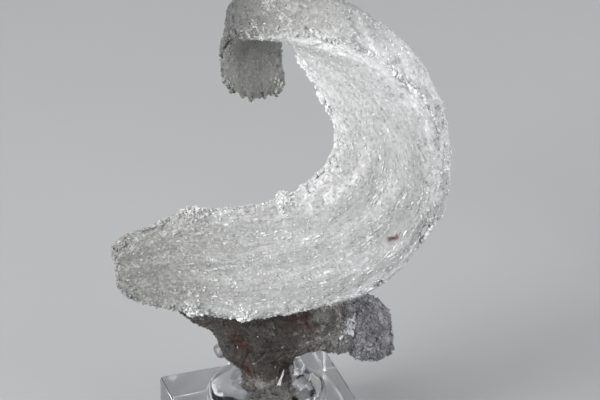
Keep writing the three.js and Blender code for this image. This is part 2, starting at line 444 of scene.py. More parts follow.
class Habit(Enum):
    """The shape that a small gypsum crystal takes."""

    GRAIN = "a slanted cleavage block"
    BLADE = "a stout crystal with a wedge tip"

    def template(self) -> tuple[Array, list[Array]]:
        """One crystal of unit width, thickness and length, growing along +Z.

        Formula: a grain is a box whose ends slant by half its width. A blade is a lozenge prism
        that narrows a little to its shoulders and ends in a short slanting edge.

        Returns:
            Its corners, and its faces with four and with three corners.
        """
        if self is Habit.GRAIN:
            ring = np.array([[-0.5, -0.35], [0.5, -0.5], [0.5, 0.35], [-0.5, 0.5]])
            low = np.column_stack([ring, -0.5 - 0.3 * ring[:, 0]])
            high = np.column_stack([ring, 0.5 + 0.3 * ring[:, 0]])
            walls = np.array([[0, 1, 5, 4], [1, 2, 6, 5], [2, 3, 7, 6], [3, 0, 4, 7]])
            ends = np.array([[3, 2, 1, 0], [4, 5, 6, 7]])
            return np.concatenate([low, high]), [np.concatenate([walls, ends])]
        ring = np.array([[-0.5, 0.0], [0.0, -0.5], [0.5, 0.0], [0.0, 0.5]])
        low = np.column_stack([ring, np.full(4, -0.5)])
        shoulder = np.column_stack([0.88 * ring, np.full(4, 0.22)])
        tip = np.array([[-0.14, 0.0, 0.42], [0.2, 0.0, 0.5]])
        walls = np.array([[0, 1, 5, 4], [1, 2, 6, 5], [2, 3, 7, 6], [3, 0, 4, 7], [3, 2, 1, 0]])
        wedge = np.array([[4, 5, 8], [5, 6, 9], [5, 9, 8], [6, 7, 9], [7, 4, 8], [7, 8, 9]])
        return np.concatenate([low, shoulder, tip]), [walls, wedge]


@dataclass
class Sites:
    """Where small crystals grow: the place, the way out of the surface, the way along it, and the tone."""

    place: Array
    outward: Array
    along: Array
    tone: Array

    @staticmethod
    def joined(parts: "list[Sites]") -> "Sites":
        """Puts several lists of sites into one."""
        names = ("place", "outward", "along", "tone")
        return Sites(*(np.concatenate([getattr(part, name) for part in parts]) for name in names))

    def paler(self, by: float) -> "Sites":
        """The same sites with a lighter tone."""
        return replace(self, tone=self.tone + by)

    def toned(self, tone: float) -> "Sites":
        """The same sites, all with one tone."""
        return replace(self, tone=np.full(len(self.tone), tone))


def sites_on(sheet: Sheet, count: int, favour: Array, rng: np.random.Generator) -> Sites:
    """Spreads sites over a sheet by area.

    Formula: a cell of the grid is drawn with a chance in proportion to its area times the favour,
    and the site is its first corner moved by random shares of the steps to its neighbours.

    Args:
        sheet: The surface.
        count: How many sites.
        favour: Rows by columns, how much each place is favoured; 0 keeps it bare.
        rng: The source of chance.

    Returns:
        The sites.
    """
    step_along = np.diff(sheet.points, axis=0)
    step_round = (np.roll(sheet.points, -1, axis=1) - sheet.points)[:-1]
    area = np.linalg.norm(np.cross(step_along, step_round), axis=-1) * favour[:-1]
    chance = area.ravel() / area.sum()
    row, column = np.unravel_index(rng.choice(area.size, count, p=chance), area.shape)
    shares = rng.random((2, count, 1))
    place = sheet.points[row, column] + shares[0] * step_along[row, column]
    place = place + shares[1] * step_round[row, column]
    return Sites(place, sheet.normals()[row, column], unit(step_along[row, column]), sheet.tone[row, column])


@dataclass(frozen=True)
class Growth:
    """How a bed of small crystals has grown."""

    length: tuple[float, float]  # shortest and longest, in millimetres
    lean_deg: tuple[float, float]  # how far the crystals stand up from the surface
    stray: float  # how much each one strays from that
    habit: Habit = Habit.GRAIN
    width: float = 0.8  # share of the length
    thickness: float = 0.5  # share of the length
    uneven: tuple[float, float] = (0.7, 1.3)  # range of each crystal's own share of both
    sink: float = 0.5  # share of the length that lies under its site
    roll: float = 3.0  # 0 lays every crystal flat on the surface, 3 turns them at random
    bury: float = 0.0  # how far all of them are set into the surface, in millimetres
    bright: float = 0.08  # share of the crystals that are milky white
    clear: float = 0.06  # share of the crystals that are dark and clear
    tone_step: float = 0.16  # how much lighter the milky ones are, and how much darker the clear ones
    tone_spread: float = 0.045  # how much the tones differ otherwise

    def bed(self, sites: Sites, rng: np.random.Generator) -> Faces:
        """Grows one crystal at each site.

        Formula: the long axis is the way along times the cosine of the lean, plus the way out
        times its sine, plus a random vector. Each corner is the site plus the corner's three
        numbers times the crystal's sizes along its own three axes.

        Args:
            sites: Where they grow.
            rng: The source of chance.

        Returns:
            All the crystals as one mesh, whose run is just the place of each point.
        """
        corners, polygons = self.habit.template()
        count = len(sites.place)
        lean = np.radians(rng.uniform(*self.lean_deg, count))[:, None]
        stray = self.stray * rng.normal(size=(count, 3))
        axis = unit(sites.along * np.cos(lean) + sites.outward * np.sin(lean) + stray)
        side = unit(np.cross(axis, sites.outward + self.roll * rng.normal(size=(count, 3))))
        third = np.cross(axis, side)
        shortest, longest = self.length
        length = (shortest + (longest - shortest) * rng.random(count) ** 2)[:, None]
        width = length * self.width * rng.uniform(*self.uneven, (count, 1))
        thickness = length * self.thickness * rng.uniform(*self.uneven, (count, 1))
        middle = sites.place + axis * length * (0.5 - self.sink) - self.bury * sites.outward
        points = middle[:, None]
        for k, step in enumerate((side * width, third * thickness, axis * length)):
            points = points + corners[None, :, k : k + 1] * step[:, None]
        tone = sites.tone + self.tone_spread * rng.normal(size=count)
        draw = rng.random(count)
        milky, clear = (draw < self.bright).astype(float), (draw > 1.0 - self.clear).astype(float)
        tone = clipped(tone + self.tone_step * (milky - clear))
        start = np.arange(count)[:, None, None] * len(corners)
        faces = [(polygon[None] + start).reshape(-1, polygon.shape[1]) for polygon in polygons]
        points = points.reshape(-1, 3)
        return Faces(points, faces, np.repeat(tone, len(corners)), points.copy())


# ---- Shader groups shared by the finishes ----


class Wiring:
    """Adds and joins the nodes of one material or group."""

    def __init__(self, tree: bpy.types.NodeTree) -> None:
        """Starts on a tree, which is emptied."""
        self.tree = tree
        tree.nodes.clear()

    def node(self, kind: str, inputs: dict[str | int, object] | None = None, **settings: object) -> Node:
        """Adds a node.

        Args:
            kind: The node's type name.
            inputs: Values or output sockets by the name or number of the input that takes them.
            settings: Properties of the node itself.

        Returns:
            The new node.
        """
        made = self.tree.nodes.new(kind)
        for name, value in settings.items():
            setattr(made, name, value)
        for key, value in (inputs or {}).items():
            socket = made.inputs[key]
            if isinstance(value, Socket):
                self.tree.links.new(value, socket)
            else:
                socket.default_value = value
        return made

    def math(self, operation: str, *values: object) -> Socket:
        """Adds a calculation with up to three values and returns its socket."""
        return self.node("ShaderNodeMath", dict(enumerate(values)), operation=operation).outputs[0]

    def vector(self, operation: str, inputs: dict[str | int, object]) -> Socket:
        """Adds a calculation with vectors and returns its socket."""
        return self.node("ShaderNodeVectorMath", inputs, operation=operation).outputs[0]

    def noise(self, place: Socket, scale: float, detail: float, roughness: float = 0.5) -> Socket:
        """Adds noise with finer copies and returns the socket of its value."""
        inputs = {"Vector": place, "Scale": scale, "Detail": detail, "Roughness": roughness}
        return self.node("ShaderNodeTexNoise", inputs).outputs["Fac"]

    def span(self, value: Socket, low: float, high: float, to_low: float, to_high: float) -> Socket:
        """Stretches a value from one range to another, stopping at its ends, and returns the socket."""
        inputs = {"Value": value, "From Min": low, "From Max": high, "To Min": to_low, "To Max": to_high}
        return self.node("ShaderNodeMapRange", inputs).outputs[0]

    def ramp(self, factor: Socket, stops: Sequence[tuple[float, Colour]]) -> Socket:
        """Adds a colour ramp.

        Args:
            factor: The value that picks the colour.
            stops: Places from 0 to 1 and their colours.

        Returns:
            The colour's socket.
        """
        made = self.node("ShaderNodeValToRGB", {0: factor})
        elements = made.color_ramp.elements
        while len(elements) < len(stops):
            elements.new(0.5)
        for element, (place, colour) in zip(elements, stops):
            element.position = place
            element.color = (*colour, 1.0)
        return made.outputs[0]

    def join(self, value: Socket, taker: Socket) -> None:
        """Joins an output socket to an input socket."""
        self.tree.links.new(value, taker)


class Group(Wiring):
    """Adds and joins the nodes of a shader group that has inputs and outputs by name."""

    def __init__(self, name: str, inputs: dict[str, str], outputs: dict[str, str]) -> None:
        """Makes an empty group.

        Args:
            name: The group's name.
            inputs: Socket kinds by input name.
            outputs: Socket kinds by output name.
        """
        super().__init__(bpy.data.node_groups.new(name, "ShaderNodeTree"))
        for way, sockets in (("INPUT", inputs), ("OUTPUT", outputs)):
            for label, kind in sockets.items():
                self.tree.interface.new_socket(name=label, in_out=way, socket_type=f"NodeSocket{kind}")
        self.given = self.node("NodeGroupInput").outputs
        self.result = self.node("NodeGroupOutput").inputs


def sparkle_group() -> bpy.types.NodeTree:
    """Fine crystal facets: every small cell has a tone and a lean of its own, and a few lean far and shine.

    Formula: the tone is half the cell's own random value, plus half the nearness to the middle of a
    coarser crumb. The normal is the surface's, plus the cell's random vector times its lean.

    Returns:
        A group with inputs Vector, Scale, Tilt and Glint Tilt, and outputs Tone, Glint and Normal.
    """
    crumb_share = 0.45  # how many crumbs there are to a cell, along a line
    dull_share = 0.97  # share of the cells that don't shine
    wiring = Group(
        "Crystal sparkle",
        {"Vector": "Vector", "Scale": "Float", "Tilt": "Float", "Glint Tilt": "Float"},
        {"Tone": "Float", "Glint": "Float", "Normal": "Vector"},
    )
    vector, scale, tilt, glint_tilt = (wiring.given[k] for k in range(4))
    cells = wiring.node("ShaderNodeTexVoronoi", {"Vector": vector, "Scale": scale}, feature="F1")
    draws = wiring.node("ShaderNodeSeparateColor", {0: cells.outputs["Color"]}).outputs
    coarse = {"Vector": vector, "Scale": wiring.math("MULTIPLY", scale, crumb_share)}
    crumbs = wiring.node("ShaderNodeTexVoronoi", coarse, feature="F1")
    inner = wiring.span(crumbs.outputs["Distance"], 0.15, 0.75, 1.0, 0.0)
    tone = wiring.math("MULTIPLY_ADD", inner, 0.5, wiring.math("MULTIPLY", draws[2], 0.5))
    glint = wiring.math("GREATER_THAN", draws[1], dull_share)
    centred = wiring.vector("SUBTRACT", {0: cells.outputs["Color"], 1: (0.5, 0.5, 0.5)})
    lean = wiring.vector("SCALE", {0: centred, "Scale": wiring.math("MULTIPLY_ADD", glint, glint_tilt, tilt)})
    normal = wiring.vector("ADD", {0: wiring.node("ShaderNodeNewGeometry").outputs["Normal"], 1: lean})
    wiring.join(tone, wiring.result["Tone"])
    wiring.join(glint, wiring.result["Glint"])
    wiring.join(wiring.vector("NORMALIZE", {0: normal}), wiring.result["Normal"])
    return wiring.tree


def fibre_group() -> bpy.types.NodeTree:
    """Silky fibres along the growth: noise of the run over the fibres' length and breadth.

    Returns:
        A group with inputs Run, Length and Breadth, and output Streak from 0 to 1.
    """
    wiring = Group(
        "Silky fibres", {"Run": "Vector", "Length": "Float", "Breadth": "Float"}, {"Streak": "Float"}
    )
    run = wiring.node("ShaderNodeSeparateXYZ", {0: wiring.given["Run"]}).outputs
    along = wiring.math("DIVIDE", run[0], wiring.given["Length"])
    across = wiring.math("DIVIDE", run[1], wiring.given["Breadth"])
    stretched = wiring.node("ShaderNodeCombineXYZ", {0: along, 1: across}).outputs[0]
    streak = wiring.span(wiring.noise(stretched, 1.0, 3.0), 0.3, 0.7, 0.0, 1.0)
    wiring.join(streak, wiring.result["Streak"])
    return wiring.tree


class SharedGroups:
    """The shader groups, each made once."""

    def __init__(self) -> None:
        """Makes the groups."""
        self.sparkle = sparkle_group()
        self.fibre = fibre_group()


# ---- Finishes ----


class Surface(Wiring):
    """Adds and joins the nodes of one new material, whose surface is a principled shader."""

    def __init__(self, name: str) -> None:
        """Makes the material, with the place in the object as its first node.

        Args:
            name: The material's name.
        """
        self.material = bpy.data.materials.new(name)
        self.material.use_nodes = True
        super().__init__(self.material.node_tree)
        self.place = self.node("ShaderNodeTexCoord").outputs["Object"]

    def finished(self, inputs: dict[str, object]) -> Material:
        """Adds the shader.

        Args:
            inputs: Values or sockets by the name of the shader's input that takes them.

        Returns:
            The material.
        """
        shader = self.node("ShaderNodeBsdfPrincipled", inputs)
        self.join(shader.outputs[0], self.node("ShaderNodeOutputMaterial").inputs["Surface"])
        return self.material


GRIT_ALONG = (
    # share of the curl, how strongly the grains and the fibres show
    (0.0, 1.2), (0.14, 0.95), (0.25, 0.62), (0.4, 0.5), (0.6, 0.5), (0.7, 0.75), (0.86, 0.65), (0.95, 0.85),
)


@dataclass(frozen=True)
class GypsumFinish:
    """Translucent sugary gypsum, from dark and clear to milky white, with rust where the veins reach."""

    name: str
    stops: tuple[tuple[float, Colour], ...] = (
        # tone, colour
        (0.0, (0.1, 0.1, 0.1)),
        (0.25, (0.174, 0.175, 0.169)),
        (0.5, (0.303, 0.306, 0.289)),
        (0.75, (0.528, 0.528, 0.524)),
        (1.0, (0.92, 0.92, 0.925)),
    )
    rust: Colour = (0.10, 0.035, 0.018)
    patches: float = 0.0  # how strong the rusty patches are that no vein feeds
    patch_mm: float = 5.0
    facet_mm: float = 0.45
    tilt: float = 0.16  # how far the facets lean
    glint_tilt: float = 0.5  # how much further the shining ones lean
    grain: float = 0.11  # how much the facets' tones differ
    streaks: float = 0.065  # how much the fibres' tones differ
    fibre_mm: tuple[float, float] = (6.5, 0.5)  # length and breadth
    roughness: tuple[float, float] = (0.3, 0.5)  # of the darkest and of the lightest facets
    glint_roughness: float = 0.26
    ior: float = 1.52
    transmission: float = 0.1
    subsurface: float = 0.85
    depth_mm: float = 1.3  # how deep light goes in

    def sugar(self, name: str) -> "GypsumFinish":
        """The same gypsum as small crystals that let no light through, so that they have no dark edges."""
        return replace(self, name=name, transmission=0.0, subsurface=0.0)

    def facets(self, surface: Surface, groups: SharedGroups) -> Node:
        """Adds the sparkle group with this finish's facets.

        Args:
            surface: The material's wiring.
            groups: The shared shader groups.

        Returns:
            The group's node.
        """
        inputs = {
            "Vector": surface.place,
            "Scale": 1.0 / (self.facet_mm * MM),
            "Tilt": self.tilt,
            "Glint Tilt": self.glint_tilt,
        }
        return surface.node("ShaderNodeGroup", inputs, node_tree=groups.sparkle)

    def whole_tone(self, surface: Surface, tone: Socket, facets: Node, groups: SharedGroups) -> Socket:
        """Adds the grains and the fibres to the mesh's own tone.

        Formula: the tone, plus the grit of the place along the curl times the sum of the facet's
        tone and the fibre's streak, each between less and plus its strength. The streaks fade
        towards the free end and past the fold.

        Args:
            surface: The material's wiring.
            tone: The mesh's tone.
            facets: The sparkle group's node.
            groups: The shared shader groups.

        Returns:
            The socket of the whole tone.
        """
        run = surface.node("ShaderNodeAttribute", attribute_name="run").outputs["Vector"]
        length, breadth = self.fibre_mm
        inputs = {"Run": run, "Length": length, "Breadth": breadth}
        fibre = surface.node("ShaderNodeGroup", inputs, node_tree=groups.fibre)
        share = surface.node("ShaderNodeSeparateXYZ", {0: run}).outputs[2]
        past_fold = surface.span(share, 0.55, 0.7, self.streaks, 0.2 * self.streaks)
        silk = surface.math("MULTIPLY", past_fold, surface.span(share, 0.02, 0.14, 0.3, 1.0))
        streak = surface.math("MULTIPLY", surface.span(fibre.outputs["Streak"], 0.0, 1.0, -1.0, 1.0), silk)
        grain = surface.span(facets.outputs["Tone"], 0.0, 1.0, -self.grain, self.grain)
        grit = surface.ramp(share, [(at, (level,) * 3) for at, level in GRIT_ALONG])
        return surface.math("MULTIPLY_ADD", surface.math("ADD", grain, streak), grit, tone)

    def build(self, groups: SharedGroups) -> Material:
        """Makes the material.

        Formula: the colour is the ramp of the whole tone, mixed with rust by the vein's or the
        patch's strength, whichever is more. Lighter facets are rougher, and glinting ones smoother.

        Args:
            groups: The shared shader groups.

        Returns:
            The finished material.
        """
        surface = Surface(self.name)
        tone, vein = (
            surface.node("ShaderNodeAttribute", attribute_name=label).outputs["Fac"]
            for label in ("tone", "rust")
        )
        facets = self.facets(surface, groups)
        patch = surface.noise(surface.place, 1.0 / (self.patch_mm * MM), 5.0, 0.62)
        rusty = surface.math("MAXIMUM", surface.span(patch, 0.54, 0.68, 0.0, self.patches), vein)
        clean = surface.ramp(self.whole_tone(surface, tone, facets, groups), self.stops)
        mix = {"Factor": rusty, "A": clean, "B": (*self.rust, 1.0)}
        low, high = self.roughness
        matt = surface.span(facets.outputs["Tone"], 0.2, 0.9, low, high)
        shine = self.glint_roughness - low
        return surface.finished(
            {
                "Base Color": surface.node("ShaderNodeMix", mix, data_type="RGBA").outputs["Result"],
                "Roughness": surface.math("MULTIPLY_ADD", facets.outputs["Glint"], shine, matt),
                "Normal": facets.outputs["Normal"],
                "IOR": self.ior,
                "Transmission Weight": self.transmission,
                "Subsurface Weight": self.subsurface,
                "Subsurface Radius": (1.0, 1.0, 0.95),
                "Subsurface Scale": self.depth_mm * MM,
            }
        )


@dataclass(frozen=True)
class ClearFinish:
    """A clear cast or pressed plastic."""

    name: str
    tint: Colour
    ior: float
    ripple: float  # height of the surface's slow waves, in millimetres
    ripple_mm: float  # their length
    scuff: float  # roughness where it is handled
    scuff_mm: float = 1.0 / 0.7  # how far apart the scuffs are

    def build(self) -> Material:
        """Makes the material: plain transmission and index, with faint waves and scuffs on the surface.

        Returns:
            The finished material.
        """
        surface = Surface(self.name)
        waves = surface.noise(surface.place, 1.0 / (self.ripple_mm * MM), 2.0)
        marks = surface.noise(surface.place, 1.0 / (self.scuff_mm * MM), 4.0)
        ripple = {"Height": waves, "Distance": self.ripple * MM, "Strength": 1.0}
        return surface.finished(
            {
                "Base Color": (*self.tint, 1.0),
                "Roughness": surface.span(marks, 0.55, 0.75, 0.0, self.scuff),
                "Normal": surface.node("ShaderNodeBump", ripple).outputs[0],
                "IOR": self.ior,
                "Transmission Weight": 1.0,
            }
        )


@dataclass(frozen=True)
class FloorFinish:
    """A plain pale studio surface with the faintest unevenness."""

    colour: Colour = (0.415, 0.42, 0.425)
    change: float = 0.01  # how much darker and lighter the colour gets

    def build(self) -> Material:
        """Makes the material: matt, in two close shades mixed by slow noise.

        Returns:
            The finished material.
        """
        surface = Surface("Pale floor")
        dark, light = (tuple((1.0 + step) * c for c in self.colour) for step in (-self.change, self.change))
        shades = surface.ramp(surface.noise(surface.place, 9.0, 2.0), [(0.3, dark), (0.7, light)])
        return surface.finished({"Base Color": shades, "Roughness": 1.0, "Specular IOR Level": 0.1})


SELENITE = GypsumFinish("Selenite")
SELENITE_SUGAR = replace(SELENITE.sugar("Selenite sugar"), glint_tilt=0.4, roughness=(0.45, 0.65))
SIDE_SELENITE = GypsumFinish(
    "Side selenite",
    stops=(
        (0.0, (0.07, 0.07, 0.075)),
        (0.4, (0.2, 0.196, 0.208)),
        (0.7, (0.42, 0.412, 0.435)),
        (1.0, (0.9, 0.9, 0.92)),
    ),
    streaks=0.0,
    transmission=0.2,
    subsurface=0.4,
)
GLASSY_GYPSUM = replace(SIDE_SELENITE, name="Glassy gypsum", transmission=0.6, subsurface=0.3)
STAINED_GYPSUM = GypsumFinish(
    "Stained gypsum",
    stops=(
        (0.0, (0.03, 0.024, 0.02)),
        (0.35, (0.066, 0.057, 0.05)),
        (0.65, (0.13, 0.121, 0.112)),
        (1.0, (0.5, 0.48, 0.46)),
    ),
    rust=(0.08, 0.03, 0.021),
    patches=0.3,
    facet_mm=0.5,
    tilt=0.12,
    glint_tilt=0.35,
    grain=0.08,
    streaks=0.04,
    roughness=(0.22, 0.42),
    transmission=0.3,
    subsurface=0.5,
)
CLEAR_PUTTY = ClearFinish(
    "Clear putty", (0.97, 0.98, 0.985), ior=1.48, ripple=0.05, ripple_mm=7.0, scuff=0.04
)
CLEAR_ACRYLIC = ClearFinish(
    "Clear acrylic", (0.965, 0.97, 0.985), ior=1.49, ripple=0.004, ripple_mm=14.0, scuff=0.06
)


# ---- The horn ----


HORN_ROWS = (
    # thin inner edge, blunt outer edge, thickness
    ((-42.5, -10, 80.5), (-40.5, -15, 65.5), 11),
    ((-33, -8, 83.5), (-32.5, -17, 64), 15),
    ((-22, -6, 87.5), (-21, -18, 62), 17),
    ((-9, -4, 87.5), (-5, -18, 60), 18),
    ((2, -2, 88.5), (12, -17, 62.5), 19),
    ((10.5, 0, 93), (29.2, -13, 66.3), 20),
    ((17.2, 2, 100), (41.2, -9, 76.7), 21),
    ((18.3, 5, 105.5), (48.8, -6, 91), 22),
    ((16.8, 9, 111.5), (48.2, -5, 106), 22),
    ((13.3, 14, 117), (42.7, -4, 120), 23),
    ((10, 20, 120.5), (31.5, -2, 130), 24),
    ((8.5, 28, 123), (17, 3, 135), 23),
    ((7, 36, 125), (5, 13, 132), 21),
    ((6, 44, 124.5), (-6.5, 28.5, 124), 18),
    ((4.5, 52, 118), (-11.5, 44, 115), 14),
    ((3.5, 56, 105), (-14, 56, 103), 12),
    ((4.5, 55, 90.5), (-12.8, 56, 91.5), 10),
)


def smooth_path(rows: Array, share: Array) -> Array:
    """A smooth curve through rows of points.

    Formula: the centripetal Catmull-Rom curve. Each span between two rows is a cubic whose end
    slopes come from the neighbouring rows, with spans weighted by the root of their length. Past
    each end the last span is continued straight.

    Args:
        rows: The points that the curve passes through.
        share: Places from 0 to 1, the rows being evenly spaced.

    Returns:
        The curve's points at those places.
    """
    padded = np.concatenate([2 * rows[:1] - rows[1:2], rows, 2 * rows[-1:] - rows[-2:-1]])
    place = clipped(share) * (len(rows) - 1)
    span = np.minimum(place.astype(int), len(rows) - 2)
    part = (place - span)[:, None]
    before, start, end, after = (padded[span + k] for k in range(4))
    spans = ((before, start), (start, end), (end, after))
    root = [np.sqrt(np.linalg.norm(b - a, axis=1))[:, None] for a, b in spans]
    leaving = (start - before) / root[0] - (end - before) / (root[0] + root[1]) + (end - start) / root[1]
    arriving = (end - start) / root[1] - (after - start) / (root[1] + root[2]) + (after - end) / root[2]
    leaving, arriving = leaving * root[1], arriving * root[1]
    square = 3 * (end - start) - 2 * leaving - arriving
    cube = 2 * (start - end) + leaving + arriving
    return start + leaving * part + square * part**2 + cube * part**3


def path_length(points: Array) -> Array:
    """How far along the path through the points each point lies: the sum of the steps up to it."""
    return np.concatenate([[0.0], np.cumsum(np.linalg.norm(np.diff(points, axis=0), axis=1))])


@dataclass
class Ribbon:
    """The horn's ribbon at a list of places along the curl."""

    middle: Array
    outward: Array  # unit, to the blunt edge
    along: Array  # unit
    front: Array  # unit, to the open side of the curl
    half_width: Array
    thick: Array
    closing: Array  # share of the section that is left near the ends

    def edge_point(self, side: float, share: float) -> Array:
        """Points near one edge: side is 1 for the outer and -1 for the inner edge, share 1 is on it."""
        return self.middle + self.outward * (side * share * self.half_width * self.closing)[:, None]


@dataclass(frozen=True)
class Pattern:
    """How far one pattern of the surface stands out, in millimetres, and how much lighter it is."""

    height: float
    tone: float


@dataclass
class HornCurl:
    """The curled horn: its sizes, its surface and what grows on it."""

    rows: tuple[tuple[Point, Point, float], ...] = HORN_ROWS
    squareness: tuple[float, float] = (0.85, 0.8)  # powers of the section's cosine and sine
    front_share: float = 0.2  # share of the thickness that lies in front of the ribbon
    back_share: float = 0.72  # share behind it, at the outer edge
    back_fall: float = 0.25  # how much thinner the back is at its middle, as a share
    usual_section: tuple[float, float] = (16.0, 20.0)  # half width and thickness of a usual section
    usual_girth: float = 75.0
    furrow: float = 0.35
    furrow_along: tuple[tuple[float, float], ...] = (
        # share of the curl, strength of the furrows
        (0.02, 0.3), (0.16, 1.0), (0.55, 1.0), (0.68, 0.25),
    )
    lump: float = 0.15
    lump_mm: float = 7.0
    end_taper: float = 0.03  # share of the curl over which each end narrows
    end_share: float = 0.7  # how wide it is at the very end, as a share
    steps: int = 2000  # how finely the curl is measured
    grid: tuple[int, int] = (480, 204)
    inset: float = 0.2  # how far the body lies inside the crystals that cover it
    ragged: tuple[float, float] = (0.9, 1.9)  # how uneven the free end and the hanging tip are
    ragged_mm: float = 9.0  # how far in from an end the unevenness reaches
    line_levels: tuple[float, ...] = (-0.45, -0.12, 0.1, 0.36, 0.66)
    line_width: float = 0.045
    laminae: Pattern = Pattern(0.07, 0.045)
    fibres: Pattern = Pattern(0.03, 0.025)
    pits: Pattern = Pattern(-0.2, -0.22)
    coarse_grains: float = 0.05  # height on the open face, in millimetres: twice that on the back
    fine_grains: Pattern = Pattern(0.05, 0.05)
    white_lines: float = 0.09  # how much lighter the white dashes are
    silk_along: tuple[tuple[float, float], ...] = (
        # share of the curl, strength of the laminae and fibres
        (0.0, 0.25), (0.06, 0.5), (0.14, 0.9), (0.2, 1.1), (0.35, 0.75), (0.6, 0.5), (0.7, 0.15),
    )
    swells: tuple[tuple[float, int, float, float], ...] = (
        # share of the curl, side (1 outer, -1 inner), height, half length
        (0.13, -1, 0.8, 4.0),
        (0.263, -1, 1.8, 2.4),
        (0.127, 1, 1.3, 1.9),
        (0.181, 1, 1.0, 2.0),
        (0.395, 1, -2.2, 2.4),
        (0.42, 1, 0.6, 2.4),
        (0.57, 1, -0.6, 6.0),
        (0.885, 1, -1.6, 8.0),
        (0.97, -1, 0.8, 3.2),
    )
    tone_and_shade_along: tuple[tuple[float, float, float], ...] = (
        # share of the curl, tone of the open face, tone of the back; partly painted shade, darkest towards
        # the free end, at the hanging tip and on the back past the fold
        (0.0, 0.34, 0.34), (0.07, 0.44, 0.44), (0.16, 0.62, 0.58), (0.3, 0.7, 0.66), (0.4, 0.69, 0.76),
        (0.5, 0.75, 0.84), (0.62, 0.77, 0.84), (0.68, 0.76, 0.64), (0.76, 0.74, 0.4), (0.84, 0.54, 0.06),
        (0.88, 0.4, 0.08), (0.93, 0.4, 0.14), (0.96, 0.34, 0.18), (1.0, 0.39, 0.24),
    )

    def ribbon(self, share: Array) -> Ribbon:
        """The ribbon at places along the curl.

        Formula: the smooth curves through both edges give the middle, the width and the way
        outward. The way along is the step between places just before and after, and each end
        narrows by a quarter of an ellipse.

        Args:
            share: Places from 0 to 1.

        Returns:
            The ribbon.
        """
        inner, outer, thick = (np.array([row[k] for row in self.rows], float) for k in range(3))
        a, b = smooth_path(inner, share), smooth_path(outer, share)
        step = 0.002
        before, after = (
            smooth_path(inner, place) + smooth_path(outer, place)
            for place in (np.maximum(share - step, 0.0), np.minimum(share + step, 1.0))
        )
        along = unit(after - before)
        outward = unit(b - a)
        inward = np.minimum(np.minimum(share, 1.0 - share) / self.end_taper, 1.0)
        closing = self.end_share + (1.0 - self.end_share) * np.sqrt(inward * (2.0 - inward))
        return Ribbon(
            middle=(a + b) / 2,
            outward=outward,
            along=along,
            front=unit(np.cross(outward, along)),
            half_width=np.linalg.norm(b - a, axis=1) / 2,
            thick=np.interp(share, np.linspace(0, 1, len(thick)), thick),
            closing=closing,
        )

    def even_shares(self, count: int) -> Array:
        """Places along the curl that are equally far apart on its middle line.

        Args:
            count: How many.

        Returns:
            Shares of the curl from 0 to 1.
        """
        share = np.linspace(0.0, 1.0, self.steps)
        length = path_length(self.ribbon(share).middle)
        return np.interp(np.linspace(0.0, length[-1], count), length, share)

    def section(self, angle: Array) -> tuple[Array, Array, Array]:
        """The section's outline.

        Formula: the place across is the cosine and the place through is the sine, each with its
        size raised to a power. The depth is the place through times a share of the thickness,
        small in front and large behind, where it falls off evenly towards the inner edge.

        Args:
            angle: Angles round the section.

        Returns:
            How far across (-1 inner edge to 1 outer), how far through (-1 back to 1 front), and the
            depth as a share of the thickness.
        """
        across = signed_power(np.cos(angle), self.squareness[0])
        through = signed_power(np.sin(angle), self.squareness[1])
        behind = self.back_share * (1.0 - self.back_fall + self.back_fall * across)
        return across, through, through * np.where(through > 0, self.front_share, behind)

    def even_angles(self, count: int) -> Array:
        """Angles round the section that are about equally far apart on a usual section's outline.

        Args:
            count: How many.

        Returns:
            Angles from the inner edge once round.
        """
        angle = np.linspace(0.0, TAU, 2 * self.steps) + math.pi
        across, _, depth = self.section(angle)
        length = path_length(np.stack([across, depth], -1) * np.array(self.usual_section))
        return np.interp(length[-1] * np.arange(count) / count, length, angle)

    def broken_end(self, across: Array, through: Array, way: float) -> Array:
        """How far an end stands out at places round its section.

        Formula: noise plus blocks that each stand out by a random amount, times the raggedness. The
        hanging tip's corners are drawn in by the square of the place across, and one small crystal
        hangs from its middle as a narrow bell curve.

        Args:
            across: How far across the places lie, from -1 to 1.
            through: How far through they lie, from -1 to 1.
            way: -1 for the free end of the lower arm and 1 for the hanging tip.

        Returns:
            Distances along the curl.
        """
        uneven = fractal_noise(np.stack([across, through], -1) * 2.6 + 5.0 * way, 3, 83)
        blocks = grain_cells(np.stack([3.4 * across, 0.9 * through], -1) + 7.0 * way, 87)
        rough = 1.2 * uneven + 1.4 * blocks.traits[..., 0] - 0.8
        if way < 0:
            return self.ragged[0] * rough
        return self.ragged[1] * rough - 1.4 * across**2 + 2.2 * bell(across - 0.2, 0.14)

    def tone_with_painted_shade(self, share: Array, across: Array, through: Array) -> Array:
        """The smooth horn's tone.

        Formula: the open face's tone and the back's at the place along the curl, mixed by how far
        in front the point lies. These tones are partly the crystal's own and partly painted shade: the
        dark back past the fold, seen from the front as the top band, and the darker hanging tip. Past
        the fold the face's outer lip takes more of the back's tone, which paints shade on the lip, and
        the back is lighter towards its inner edge, so that less shade is painted there.

        Args:
            share: Places along the curl, one for each row.
            across: How far across, one for each column.
            through: How far through, one for each column.

        Returns:
            Rows by columns, from 0 dark to 1 white.
        """
        places, face, back = np.array(self.tone_and_shade_along).T
        # painted shade: past the fold the lip takes the back's dark tone
        lip = clipped(across) * np.interp(share, (0.76, 0.85), (0.0, 0.5))[:, None]
        openness = clipped(0.5 - lip + 2.0 * through)
        inner = clipped(1.2 - 1.6 * across) * np.interp(share, (0.7, 0.85), (0.0, 0.22))[:, None]
        behind = np.interp(share, places, back)[:, None] + inner
        return np.interp(share, places, face)[:, None] * openness + behind * (1.0 - openness)

